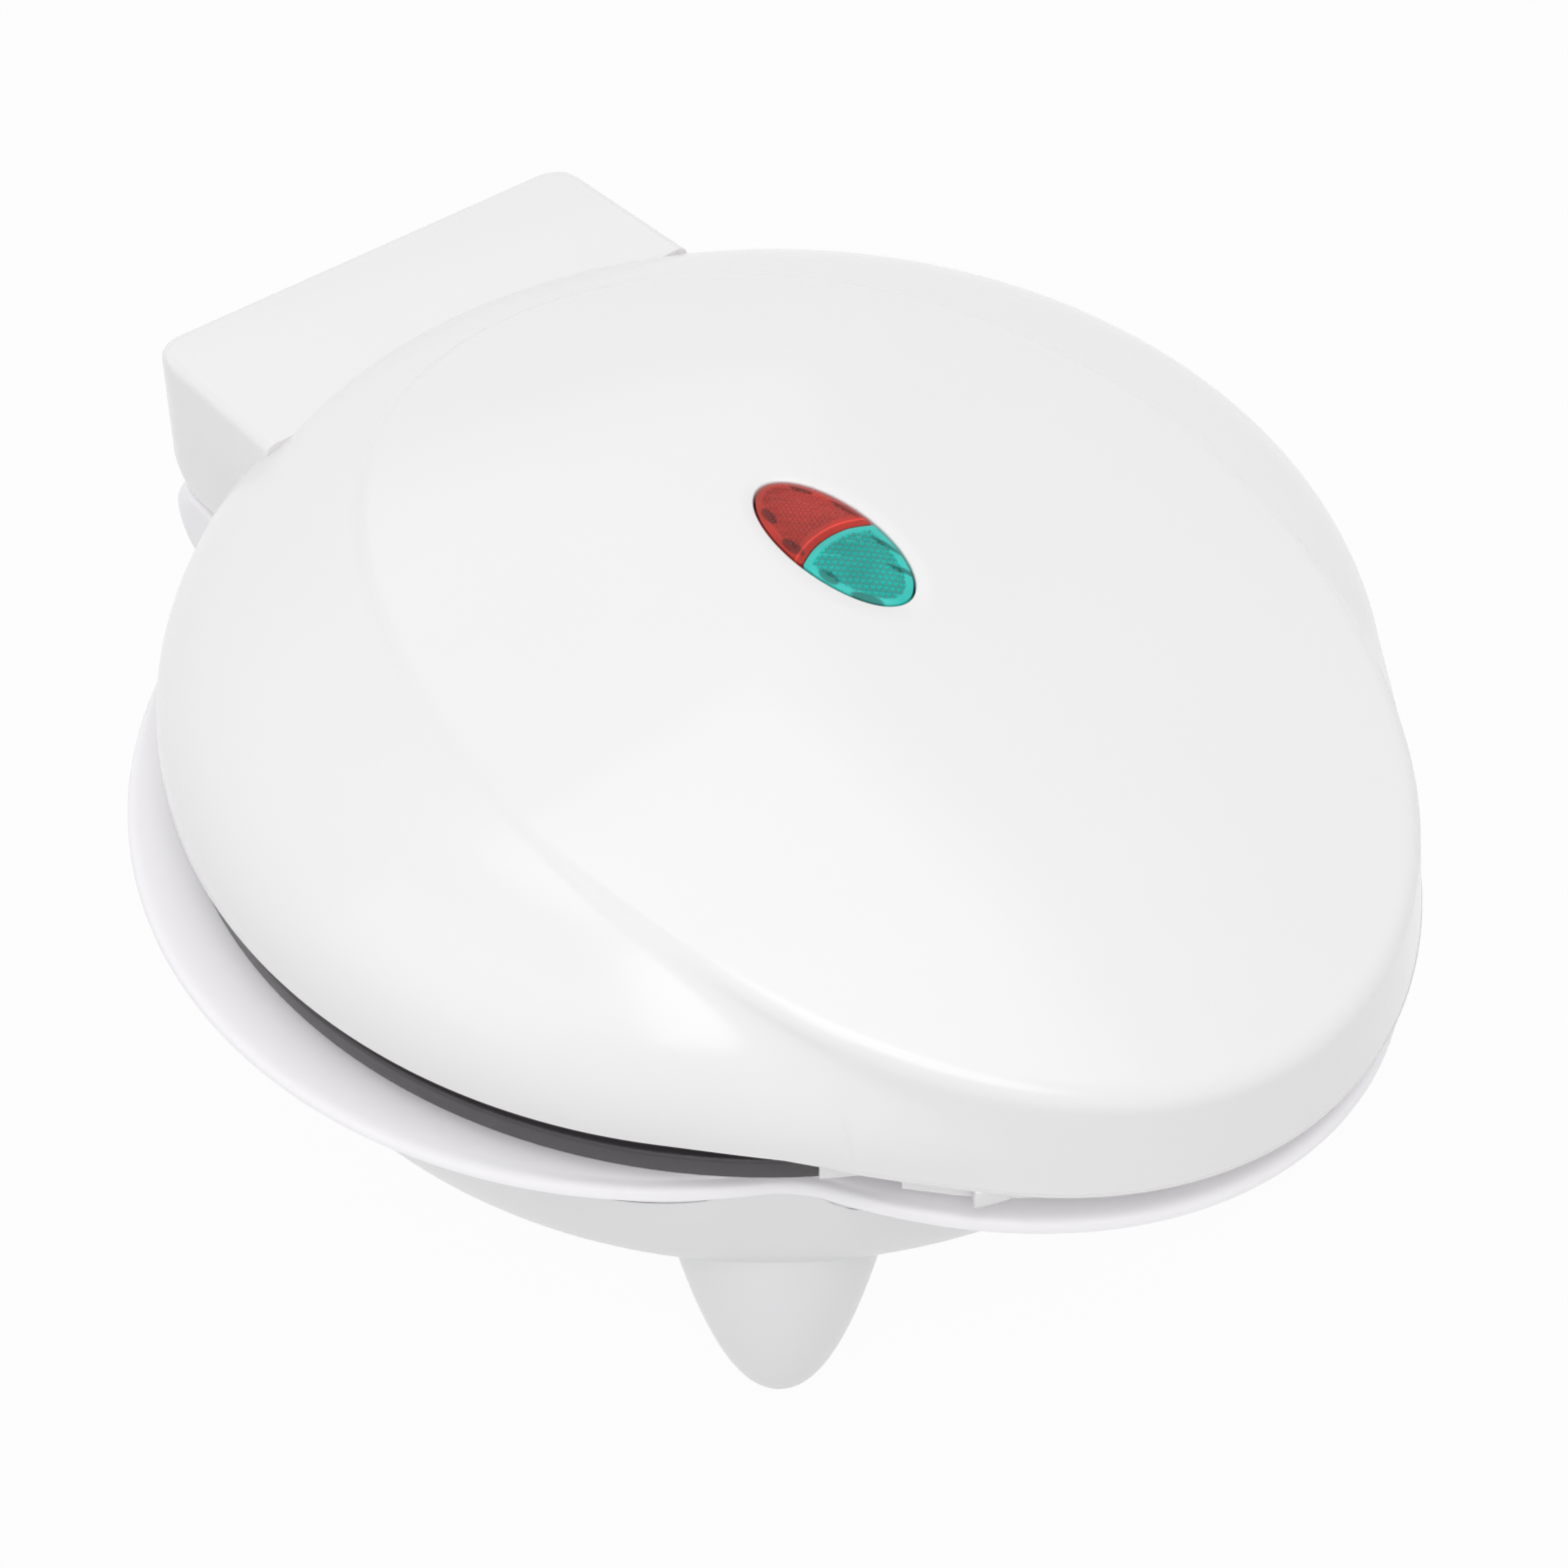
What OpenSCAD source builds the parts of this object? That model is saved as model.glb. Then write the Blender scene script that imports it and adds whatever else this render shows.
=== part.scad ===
// Ring cake maker: a hinged round lid over a footed base, each with a cast plate of ring cavities.
// Built about the middle of the lid's rim plane, then lifted so that the foot pads stand on z = 0.
// The handle points along -Y, the hinge lies along X at the back.

/* [Lid shell] */
// Radius of the round lid
lid_r = 112; // [111.8:0.2:114]
// Height of the straight band at the lid's rim
band_h = 0.5; // [0.3:0.1:1]
// Rise of the dome above the band
dome_h = 35.3; // [35:0.1:37]
// How square the shoulder of the dome is
dome_power = 3.25; // [3.2:0.05:3.6]
// Wall of the moulded shells
wall = 2.4; // [2:0.1:2.6]

/* [Raised panel and handle] */
// How far the panel's top stays inside the lid's radius at its sides
panel_side = 36.7; // [35:0.1:38]
// How far half the length of the panel's top falls short of the lid's radius
panel_short = 8.7; // [7:0.1:10]
// How far the top's middle lies towards the handle
panel_y = 23.2; // [22:0.1:24]
// How far the oval that the skirt's foot lies on stays inside the lid's radius at its sides
skirt_side = 24.6; // [23:0.1:26]
// How far half the length of that oval passes the lid's radius
skirt_over = 1.2; // [0:0.1:2]
// How far that oval's middle lies towards the handle
skirt_y = 20; // [19:0.1:21]
// Height of the panel's highest line above the rim
crown_z = 37; // [36.5:0.1:38]
// How far behind the lid's middle that line lies
crown_y = 8; // [6:0.5:12]
// Radius of the panel's top from front to back
crown_long_r = 370; // [360:5:400]
// Radius of the panel's top from side to side
crown_side_r = 535; // [500:5:700]
// How far the handle's skirt hangs below the rim
skirt_drop = 7; // [5:0.5:7.5]

/* [Cast plates] */
// How far the lower plate's flange stays inside the lid's radius
plate_inset = 1.3; // [1:0.1:1.5]
// How much smaller the upper flange is
plate_step = 1.5; // [1.2:0.1:2]
// Depth of the lower plate's flange
low_flange_h = 4.8; // [4.5:0.1:5]
// Depth of the upper plate's flange
up_flange_h = 3; // [3:0.1:3.2]
// Width of both flanges
flange_w = 6; // [5:0.5:6.5]
// Thickness of the plates between the cavities
web_t = 3; // [2.6:0.1:3.4]
// How far the plates meet below the lid's rim
mate_drop = 3.85; // [3.7:0.05:4]
// Gap left between the closed plates
mate_gap = 0.5; // [0.4:0.1:0.8]
// Ring cavities around the middle one
outer_rings = 6; // [6:1:6]
// Flat land between neighbouring cavities
ring_land = 5; // [4.5:0.25:6]
// Radius of a cavity's round section
tube_r = 11; // [10:0.25:11]
// Metal left around a cavity
cast_t = 2; // [1.8:0.1:2.2]
// How far the cast screw bosses lie inside the seat wall
boss_inset = 18.4; // [18:0.1:19]
// Radius of a cast boss
boss_r = 4.5; // [4:0.25:4.75]
// Drop from a plate's face to its heat shield
shield_drop = 18.6; // [18:0.2:19]
// Thickness of the heat shields
shield_t = 0.8; // [0.6:0.1:1]

/* [Heating parts] */
// Radius of the heater's tube
heater_tube = 3.25; // [3:0.05:3.4]
// Angle of the gap between the heater's ends
heater_gap = 60; // [56:1:66]
// Clearance of parts that are clamped or slipped together
slip = 0.2; // [0.15:0.05:0.3]
// Length of the heater's straight ends
cold_end = 15; // [14:0.5:16]
// Thickness of the heater clamps
clamp_t = 1.2; // [1:0.1:1.5]
// Radius of the thermostats
stat_r = 7; // [6:0.25:7.25]
// Height of the thermostats
stat_h = 11; // [9:0.5:12]
// Radius of the screws' shanks
screw_r = 1.9; // [1.7:0.1:2]
// Radius of the screws' heads
head_r = 3.6; // [3.2:0.1:3.8]
// Height of the screws' heads
head_h = 2.2; // [1.8:0.1:2.4]

/* [Indicator lamps] */
// Half length of the oval lens pair
lens_a = 18; // [16:0.25:20]
// Half width of the oval lens pair
lens_b = 8.1; // [7:0.1:9]
// How far the lenses' middle lies towards the handle
lens_y = 16.4; // [14:0.1:18]
// Height of the lenses above the panel
lens_proud = 0.4; // [0.2:0.1:0.6]
// Radius of a lamp
lamp_r = 2.5; // [2:0.1:2.8]

/* [Tray] */
// How much smaller than the lid's radius the tray's round sides are
tray_step = 9; // [8:0.1:9.5]
// How far each side's centre lies from the middle
tray_shift = 17.5; // [17:0.1:18.5]
// How far these centres lie behind the lid's middle
tray_y = 5.4; // [4:0.1:6]
// Drop from the lid's rim to the tray's rim
tray_drop = 13.7; // [13.4:0.1:14]
// How far the lip under the handle stays inside the skirt's oval at its sides
lip_side = 6.4; // [5.5:0.1:7.5]
// How far the lip's front passes the skirt's
lip_over = 0.1; // [0:0.1:1]
// How far the lip's middle lies towards the handle
lip_y = 27; // [26:0.1:28]
// Thickness of the tray
tray_t = 2; // [1.8:0.1:2.2]
// How far the wall that carries a plate stays inside the lower plate's flange
seat_inset = 5.3; // [5.1:0.1:5.5]
// Drop from the lid's rim to the foot of the tray's slope
slope_drop = 24; // [23.5:0.5:25]

/* [Bowl and feet] */
// How far the bowl's top stands out past the seat wall
bowl_over = 4.8; // [4.6:0.1:5.2]
// Width of the round between the bowl's side and its flat bottom
bowl_round = 13.4; // [12:0.1:14.5]
// Drop from the lid's rim to the bowl's bottom
bowl_drop = 45.2; // [45:0.1:46]
// Drop from the lid's rim to the surface that the pads stand on
rest_drop = 84.5; // [83:0.5:87]
// Angle of the feet from the middle line
foot_turn = 40.5; // [40:0.25:42]
// Lean of the feet
foot_lean = 26.1; // [25.5:0.1:27]
// Radius of a foot at the bowl
foot_r = 22.4; // [22:0.1:22.8]
// Radius of a foot pad
pad_r = 4.75; // [4:0.25:5]
// Height of a foot pad
pad_h = 2.5; // [2:0.1:3]

/* [Hinge] */
// Half width of both hinge housings
hinge_w = 51.5; // [50:0.1:52]
// Height of the lid's hinge housing above the rim
box_top = 22; // [21:0.1:22.4]
// Distance of the hinge line behind the lid's round edge
axis_gap = 16.6; // [16.2:0.1:17]
// Drop of the hinge line below the rim
axis_drop = 8; // [7.8:0.1:8.2]
// Distance from the hinge line to the lid housing's back
heel_r = 7.6; // [7.2:0.1:7.8]
// Drop from the hinge line to the base housing's top
table_drop = 8.5; // [8.3:0.1:8.8]
// Radius of the base housing's round back
block_r = 10.8; // [10.5:0.1:11.2]
// Distance of that round back's centre behind the hinge line
block_gap = 2.4; // [1.9:0.1:2.9]
// Radius of the hinge pins
pin_r = 2.5; // [2.2:0.1:2.8]
// Running clearance of the hinge pins
pin_play = 0.05; // [0.03:0.01:0.08]
// Radius of the round end of the hinge ears
ear_r = 6; // [5.6:0.1:6.2]
// Distance from the middle to the hinge ears
ear_x = 38; // [34:0.5:39]
// Width of a hinge ear
ear_w = 8; // [6:0.5:9]
// Side clearance beside a hinge ear
ear_gap = 0.4; // [0.3:0.05:0.6]

/* [Cord inlet] */
// Radius of the bore in the cord's bush
cord_bore = 3.6; // [3:0.1:4]
// Radius of the bush's body
bush_r = 5.5; // [5:0.1:6]
// Length of the bush
bush_l = 12; // [10:0.5:14]

/* [Hidden] */
$fn = 96;
hull_fn = 64;
eps = 0.01;
far = 300;
thread_play = 0.1;
low_face = -(mate_drop + mate_gap / 2);
up_face = -(mate_drop - mate_gap / 2);
low_under = low_face - low_flange_h;
cast_r = tube_r + cast_t;
plate_r = lid_r - plate_inset;
seat_r = plate_r - seat_inset;
seat_t = 2.4;
seat_in = seat_r - seat_t;
// The outer cavities' castings reach the seat wall, with a land between all neighbours.
ring_pitch = (seat_in - cast_t + ring_land / 2) * 2 / 3;
ring_r = (ring_pitch - ring_land) / 2 - tube_r;
boss_pitch = seat_r - boss_inset;
panel_a = lid_r - panel_side;
panel_b = lid_r - panel_short;
skirt_a = lid_r - skirt_side;
skirt_b = lid_r + skirt_over;
skirt_root = lid_r - 25;
axis_y = lid_r + axis_gap;
block_y = axis_y + block_gap;
ring_turns = [for (i = [0:outer_rings - 1]) i * 360 / outer_rings];
boss_turns = [30, 150, 270];
post_boss_r = 3.8;
// The heater lies in the valley between the middle cavity and the outer ones.
heater_r = ring_pitch / 2;
heater_dip = sqrt(pow(cast_r + heater_tube + slip, 2) - pow(heater_r - ring_r, 2));
heater_end = 90 - heater_gap / 2;
crimp_w = 4.2;
crimp_l = 5;
cold_r = 1.85;
cold_x = heater_r * cos(heater_end) - crimp_l * 0.6 * sin(heater_end);
cold_y = heater_r * sin(heater_end) + crimp_l * 0.6 * cos(heater_end);
clamp_dip = cast_r + slip;
clamp_hub_r = 11;
clamp_w = 10;
tab_l = 3;
tab_r = 1.5;
ledge_t = 3;
ledge_w = 21;
low_ledge = low_face - shield_drop - shield_t;
up_ledge = up_face + shield_drop + shield_t;
low_shield_r = seat_in - 0.5;
up_seat_r = seat_r - 9.4;
up_shield_r = up_seat_r - seat_t - slip;
up_step_z = up_face + cast_r + 0.6;
up_ledge_w = 12;
post_turns = [0, 75, 105, 180, 255, 285];
post_pitch = boss_pitch + 1;
post_r = 4.5;
screw_len = 9;
tray_r = lid_r - tray_step;
lip_a = skirt_a - lip_side;
front_reach = skirt_y + skirt_b + lip_over;
lip_b = front_reach - lip_y;
bowl_r = seat_r + bowl_over;
bowl_flat = bowl_r - bowl_round;
bowl_floor = -bowl_drop + wall;
bowl_shoulder = -20.5;
bowl_top = -17;
bowl_power = 0.6;
vents = 8;
vent_start = 36;
vent_l = 24;
vent_w = 3;
foot_turns = [for (s = [-1, 1], back = [0, 180]) back - 90 + s * foot_turn];
foot_top = -41;
foot_power = 2.2;
foot_wall = 2.6;
foot_tip = 1 - rest_drop;
foot_len = (foot_top - foot_tip) / cos(foot_lean);
foot_top_pitch = bowl_r - 3.2 - foot_r;
pad_pitch = foot_top_pitch + (foot_top - foot_tip) * tan(foot_lean) - 4.3;
axis_z = -axis_drop;
table_z = axis_z - table_drop;
heel_z = table_z + 1;
heel_lean = 12.5;
plan_corner = 7;
slot_top = axis_z + ear_r + 2.8;
slot_w = ear_w + 1.2;
cheek_w = 4.6;
cheek_neck = 4.2;
pin_half = ear_w / 2 + ear_gap + cheek_w;
bush_z = table_z - block_r;
bush_face_r = 9;
bush_flange_r = 7.5;
bush_flange_t = 1.6;
block_back = block_y + block_r;
mid_y = (block_back - front_reach) / 2;
panel_top = 30;
crown_turn = 24;
lens_gap = 0.3;
lens_split_r = 16;
carrier_drop = 8;
carrier_t = 1.6;
carrier_w = 22;
carrier_tongue_r = 5;
carrier_boss_r = 3.2;
carrier_screw_r = 1.2;
carrier_bite = 2.5;
lamp_shift = 9;
carrier_z = panel_z(-lens_y, 0) - carrier_drop;
carrier_ys = [-lens_y - lens_a - 7, -lens_y + lens_a + 7];
lamp_z = carrier_z - carrier_t - lamp_r - 0.1;
liner_z = -7.5;
liner_t = 2;
liner_turn = 31;
shell_boss_r = 3.6;
front_screw_y = -lid_r - 6.5;
rear_screw_y = lid_r + 5;
lid_screw_spots = [[26, front_screw_y], [-26, front_screw_y], [22, rear_screw_y], [-22, rear_screw_y]];
rear_tongue_z = 0.4;
terminal_h = 9;
terminal_side = 7;
terminal_front = 6;
terminal_depth = 20;
terminal_pitch = 8;
block_root = bowl_r - 20.2;
terminal_top = bowl_floor + terminal_h;

white = "#f3f2f0";
cast_grey = "#4b474b";
steel = "#b9bcc0";
tin = "#d3d5d8";

// Height of the dome's outside at a radius, for a dome of a given rim radius and rise.
function dome_z(r, rim, rise) = band_h + rise * sqrt(max(0, 1 - pow(r / rim, dome_power)));
// Height of the raised panel at a distance from the lid's middle.
function panel_z(y, x) = crown_z - pow(y - crown_y, 2) / (2 * crown_long_r) - x * x / (2 * crown_side_r);
function oval(a, b, n) = [for (i = [0:n - 1]) [a * cos(360 * i / n), b * sin(360 * i / n)]];

// Moves a sub-part from the rim's frame to the part's frame.
module seat() {
    translate([0, -mid_y, rest_drop]) children();
}

module around(turns, r) {
    for (t = turns) rotate([0, 0, t]) translate([r, 0, 0]) children();
}

// Screw with its head below z = 0 and its shank above.
module screw(shank) {
    cylinder(r = screw_r, h = shank);
    difference() {
        translate([0, 0, -head_h]) cylinder(r = head_r, h = head_h);
        translate([-head_r * 0.6, -0.4, -head_h - eps]) cube([head_r * 1.2, 0.8, 0.8]);
        translate([-0.4, -head_r * 0.6, -head_h - eps]) cube([0.8, head_r * 1.2, 0.8]);
    }
}

// ---- plates, drawn with the cooking face at z = 0 and the cavities below it ----

module at_rings() {
    children();
    around(ring_turns, ring_pitch) children();
}

module ring_section(r) {
    intersection() {
        translate([ring_r, 0]) circle(r = r);
        translate([0, -far]) square([far, far]);
    }
}

module cast_plate(r, flange) {
    difference() {
        union() {
            translate([0, 0, -flange]) cylinder(r = r, h = flange);
            at_rings() rotate_extrude() ring_section(cast_r);
            around(boss_turns, boss_pitch) translate([0, 0, -shield_drop])
                cylinder(r = boss_r, h = shield_drop - 1);
            translate([0, 0, -clamp_dip]) cylinder(r = post_boss_r, h = clamp_dip - 1);
        }
        difference() {
            translate([0, 0, -flange - 1]) cylinder(r = r - flange_w, h = flange - web_t + 1);
            at_rings() rotate_extrude() ring_section(cast_r);
            around(boss_turns, boss_pitch) translate([0, 0, -far]) cylinder(r = boss_r, h = far);
            translate([0, 0, -far]) cylinder(r = post_boss_r, h = far);
        }
        at_rings() rotate_extrude() translate([ring_r, 0]) circle(r = tube_r);
        around(boss_turns, boss_pitch) translate([0, 0, -shield_drop - 1])
            cylinder(r = screw_r + thread_play, h = screw_len + 1);
        translate([0, 0, -clamp_dip - 1]) cylinder(r = screw_r + thread_play, h = screw_len + 1);
    }
}

module at_cold_ends() {
    for (s = [-1, 1]) translate([s * cold_x, cold_y, 0]) children();
}

// Broken ring of tube; a square crimp at each end carries a pin that points away from the plate.
module heater() {
    rotate([0, 0, 90 + heater_gap / 2]) translate([0, 0, -heater_dip])
        rotate_extrude(angle = 360 - heater_gap) translate([heater_r, 0]) circle(r = heater_tube);
    for (side = [0, 1]) mirror([side, 0, 0]) rotate([0, 0, heater_end])
        translate([heater_r - crimp_w / 2, -1, -heater_dip - crimp_w / 2]) cube([crimp_w, crimp_l + 1, crimp_w]);
    at_cold_ends() translate([0, 0, -heater_dip - cold_end]) {
        cylinder(r = cold_r, h = cold_end);
        translate([0, 0, -tab_l]) cylinder(r = tab_r, h = tab_l + 1);
    }
}

// Spider with a broken ring that holds the heater up in its valley.
module heater_clamp() {
    difference() {
        union() {
            cylinder(r = clamp_hub_r, h = clamp_t);
            rotate([0, 0, 135]) rotate_extrude(angle = 270)
                translate([heater_r - clamp_w / 2, 0]) square([clamp_w, clamp_t]);
            for (t = boss_turns) rotate([0, 0, t]) translate([0, -clamp_w / 2, 0])
                cube([heater_r, clamp_w, clamp_t]);
        }
        translate([0, 0, -1]) cylinder(r = screw_r + thread_play, h = clamp_t + 2);
    }
}

module heat_shield(r) {
    difference() {
        cylinder(r = r, h = shield_t);
        around(boss_turns, boss_pitch) translate([0, 0, -1]) cylinder(r = screw_r + slip, h = shield_t + 2);
        at_cold_ends() translate([0, 0, -1]) cylinder(r = cold_r + 2, h = shield_t + 2);
    }
}

// Thermostat standing on z = 0, with its two tabs.
module thermostat() {
    cylinder(r = stat_r, h = stat_h - 2);
    cylinder(r = stat_r - 1.5, h = stat_h);
    for (s = [-1, 1]) translate([s * 3 - 0.4, -1.6, stat_h - 0.5]) cube([0.8, 3.2, 3.5]);
}

// ---- lid ----

module lid_dome(inset) {
    rim = lid_r - inset;
    points = [for (t = [0:5:90]) let (r = rim * pow(sin(t), 0.6)) [r, dome_z(r, rim, dome_h - inset)]];
    low = inset > 0 ? -eps : 0;
    rotate_extrude() polygon(concat([[0, low]], points, [[rim, low]]));
}

// Everything below the panel's doubly curved top, lowered by inset.
module crown(inset) {
    translate([0, crown_y, crown_z - inset - crown_long_r]) rotate([0, -90, 0]) rotate([0, 0, -crown_turn])
        rotate_extrude(angle = 2 * crown_turn, $fn = 720) intersection() {
            translate([crown_long_r - crown_side_r, 0]) circle(r = crown_side_r, $fn = 720);
            translate([crown_long_r - 70, -skirt_a - 5]) square([80, 2 * skirt_a + 10]);
        }
}

// Flaring wall of the raised panel and the handle.
module panel_walls(inset) {
    hull() {
        translate([0, -panel_y, panel_top]) linear_extrude(height = 8)
            polygon(oval(panel_a - inset, panel_b - inset, hull_fn));
        translate([0, -skirt_y, -skirt_drop - 1]) linear_extrude(height = 1)
            polygon(oval(skirt_a - inset, skirt_b - inset, hull_fn));
    }
}

// Dome and raised panel as one solid, or its hollow where inset is the wall.
module lid_solid(inset) {
    difference() {
        lid_dome(inset);
        panel_walls(0);
    }
    intersection() {
        panel_walls(0);
        crown(inset);
        union() {
            lid_dome(inset);
            panel_walls(inset);
        }
    }
}

// The skirt's lower edge rises from the handle's front to the lid's rim.
module skirt_cut() {
    tilt = atan(skirt_drop / (front_reach - skirt_root));
    translate([0, -skirt_root, 0]) rotate([tilt, 0, 0]) translate([-far / 2, -far, -40]) cube([far, far, 40]);
    translate([-far / 2, -skirt_root - eps, -40]) cube([far, far, 40]);
}

module along_x(half) {
    rotate([90, 0, 90]) translate([0, 0, -half]) linear_extrude(height = 2 * half) children();
}

// Side view of the lid's hinge housing: a round heel about the hinge line and a back that leans.
module box_side(inset) {
    heel = heel_r - inset;
    top = box_top - inset;
    low = inset > 0 ? heel_z - 5 : heel_z;
    foot = [axis_y + heel * cos(heel_lean), axis_z + heel * sin(heel_lean)];
    edge = foot[0] - (top - 3 - foot[1]) * tan(heel_lean);
    polygon([
        [60, low], [axis_y, low], [axis_y + heel * cos(heel_lean) * 0.7, axis_z], foot,
        [edge, top - 3], [edge - 3, top], [60, top]
    ]);
    translate([axis_y, axis_z]) circle(r = heel);
}

// Plan of a hinge housing with rounded back corners.
module housing_plan(w, back) {
    r = plan_corner;
    translate([-w, 60]) square([2 * w, back - r - 60]);
    translate([-w + r, 60]) square([2 * (w - r), back - 60]);
    for (s = [-1, 1]) translate([s * (w - r), back - r]) circle(r = r);
}

module hinge_box(inset) {
    intersection() {
        along_x(hinge_w - inset) box_side(inset);
        translate([0, 0, -60]) linear_extrude(height = 120)
            housing_plan(hinge_w - inset, axis_y + heel_r - inset);
    }
}

module ear_slots() {
    for (s = [-1, 1]) translate([s * ear_x - slot_w / 2, axis_y, heel_z - 5])
        cube([slot_w, far, slot_top - heel_z + 5]);
}

// Cheeks beside each hinge ear carry the pins.
module cheeks() {
    for (s = [-1, 1], side = [-1, 1]) {
        mid = s * ear_x + side * (ear_w / 2 + ear_gap + cheek_w / 2);
        translate([mid, 0, 0]) along_x(cheek_w / 2) {
            translate([axis_y, axis_z]) circle(r = ear_r);
            translate([axis_y - ear_r, axis_z]) square([cheek_neck, box_top - wall - axis_z + 1]);
        }
    }
}

module at_pins(half, r) {
    for (s = [-1, 1]) translate([s * ear_x - half, axis_y, axis_z]) rotate([0, 90, 0])
        cylinder(r = r, h = 2 * half);
}

module shell_screw_bosses() {
    for (p = lid_screw_spots) {
        low = p[1] < 0 ? liner_z + liner_t : rear_tongue_z + liner_t;
        top = p[1] < 0 ? panel_z(p[1], p[0]) - 1.5 : box_top - 1;
        translate([p[0], p[1], low]) difference() {
            cylinder(r = shell_boss_r, h = top - low);
            translate([0, 0, -1]) cylinder(r = screw_r + thread_play, h = screw_len + 1);
        }
    }
}

module lens_plan(grow) {
    translate([0, -lens_y]) polygon(oval(lens_b + grow, lens_a + grow, 64));
}

module at_carrier_screws() {
    for (y = carrier_ys) translate([0, y, carrier_z]) children();
}

module lid_shell() {
    color(white) difference() {
        union() {
            difference() {
                union() {
                    difference() {
                        lid_solid(0);
                        skirt_cut();
                    }
                    difference() {
                        hinge_box(0);
                        translate([0, 0, -far]) cylinder(r = lid_r, h = far);
                    }
                }
                lid_solid(wall);
                hinge_box(wall);
                ear_slots();
            }
            cheeks();
            shell_screw_bosses();
            for (y = carrier_ys) translate([0, y, carrier_z]) difference() {
                cylinder(r = carrier_boss_r, h = panel_z(y, 0) - carrier_z - wall / 2);
                translate([0, 0, -1]) cylinder(r = carrier_screw_r + thread_play, h = carrier_bite + 1.5);
            }
        }
        at_pins(pin_half + 0.5, pin_r + pin_play);
        translate([0, 0, carrier_z - 1]) linear_extrude(height = 20) lens_plan(lens_gap);
    }
}

module lid_frame() {
    up_in = up_seat_r - seat_t;
    liner_in = lid_r - 1.2;
    liner_out = lid_r + 0.6;
    color(white) difference() {
        union() {
            rotate_extrude() polygon([
                [seat_in, up_face + up_flange_h], [seat_r, up_face + up_flange_h], [seat_r, up_step_z - 1],
                [seat_r - 2, up_step_z + 2], [up_seat_r, up_step_z + 2], [up_seat_r, up_ledge + ledge_t],
                [up_in - up_ledge_w, up_ledge + ledge_t], [up_in - up_ledge_w, up_ledge],
                [up_in, up_ledge], [up_in, up_step_z], [seat_in, up_step_z]
            ]);
            intersection() {
                rotate([0, 0, -90 - liner_turn]) rotate_extrude(angle = 2 * liner_turn) polygon([
                    [seat_r - 1, 0.6], [liner_in, 0.6], [liner_in, liner_z], [far, liner_z],
                    [far, liner_z + liner_t], [liner_out, liner_z + liner_t], [liner_out, 2.6],
                    [seat_r - 1, 2.6]
                ]);
                panel_walls(wall + 2 * slip);
            }
            translate([0, 0, rear_tongue_z]) linear_extrude(height = liner_t) difference() {
                translate([-28, 60]) square([56, axis_y - ear_r - 1.5 - 60]);
                circle(r = seat_r - 1);
            }
        }
        around(boss_turns, boss_pitch) translate([0, 0, up_ledge - 1])
            cylinder(r = screw_r + thread_play, h = ledge_t + 2);
        for (p = lid_screw_spots) translate([p[0], p[1], -20]) cylinder(r = screw_r + thread_play, h = 40);
    }
}

module lid_screws() {
    color(steel) for (p = lid_screw_spots)
        translate([p[0], p[1], p[1] < 0 ? liner_z : rear_tongue_z]) screw(liner_t + screw_len - 1);
}

module upper() {
    translate([0, 0, up_face]) mirror([0, 0, 1]) children();
}

module lower() {
    translate([0, 0, low_face]) children();
}

module plate_screws() {
    around(boss_turns, boss_pitch) translate([0, 0, -shield_drop - shield_t - ledge_t])
        screw(ledge_t + shield_t + screw_len - 1);
}

module clamp_screw() {
    translate([0, 0, -clamp_dip - clamp_t]) screw(clamp_t + screw_len - 1);
}

module at_thermostat() {
    rotate([0, 0, ring_turns[5]]) translate([ring_pitch, 0, -web_t]) mirror([0, 0, 1]) children();
}

module upper_plate() {
    color(cast_grey) upper() cast_plate(plate_r - plate_step, up_flange_h);
}

module upper_heater() {
    color(steel) upper() heater();
}

module upper_heater_clamp() {
    color(tin) upper() translate([0, 0, -clamp_dip - clamp_t]) heater_clamp();
}

module upper_clamp_screw() {
    color(steel) upper() clamp_screw();
}

module upper_heat_shield() {
    color(tin) upper() translate([0, 0, -shield_drop - shield_t]) heat_shield(up_shield_r);
}

module upper_plate_screws() {
    color(steel) upper() plate_screws();
}

module upper_thermostat() {
    color("#d8d2c4") upper() at_thermostat() thermostat();
}

// The two lenses meet along an arc that bulges towards the hinge.
module lens() {
    intersection() {
        translate([0, 0, carrier_z]) linear_extrude(height = 20) children();
        translate([0, crown_y, crown_z + lens_proud - crown_long_r]) rotate([0, 90, 0])
            translate([0, 0, -20]) cylinder(r = crown_long_r, h = 40, $fn = 1440);
    }
}

module split_disc(r) {
    translate([0, 1 - lens_y - lens_split_r]) circle(r = r);
}

module lens_red() {
    color("#c4423a") lens() difference() {
        lens_plan(0);
        split_disc(lens_split_r + slip / 2);
    }
}

module lens_green() {
    color("#3cbeaa") lens() intersection() {
        lens_plan(0);
        split_disc(lens_split_r - slip / 2);
    }
}

// Plate under the lenses with a window over each lamp and a round tongue at each end.
module lamp_carrier() {
    window = 2 * lamp_r + 1;
    color(white) translate([0, 0, carrier_z - carrier_t]) difference() {
        linear_extrude(height = carrier_t) {
            translate([-carrier_w / 2, carrier_ys[0]]) square([carrier_w, carrier_ys[1] - carrier_ys[0]]);
            for (y = carrier_ys) translate([0, y]) circle(r = carrier_tongue_r);
        }
        for (s = [-1, 1]) translate([-carrier_w / 4, s * lamp_shift - lens_y - window / 2, -1])
            cube([carrier_w / 2, window, carrier_t + 2]);
        for (y = carrier_ys) translate([0, y, -1])
            cylinder(r = carrier_screw_r + thread_play, h = carrier_t + 2);
    }
}

module lamp_carrier_screws() {
    color(steel) at_carrier_screws() translate([0, 0, -carrier_t]) {
        cylinder(r = carrier_screw_r, h = carrier_t + carrier_bite);
        translate([0, 0, -1.4]) cylinder(r = 2 * carrier_screw_r, h = 1.4);
    }
}

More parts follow.
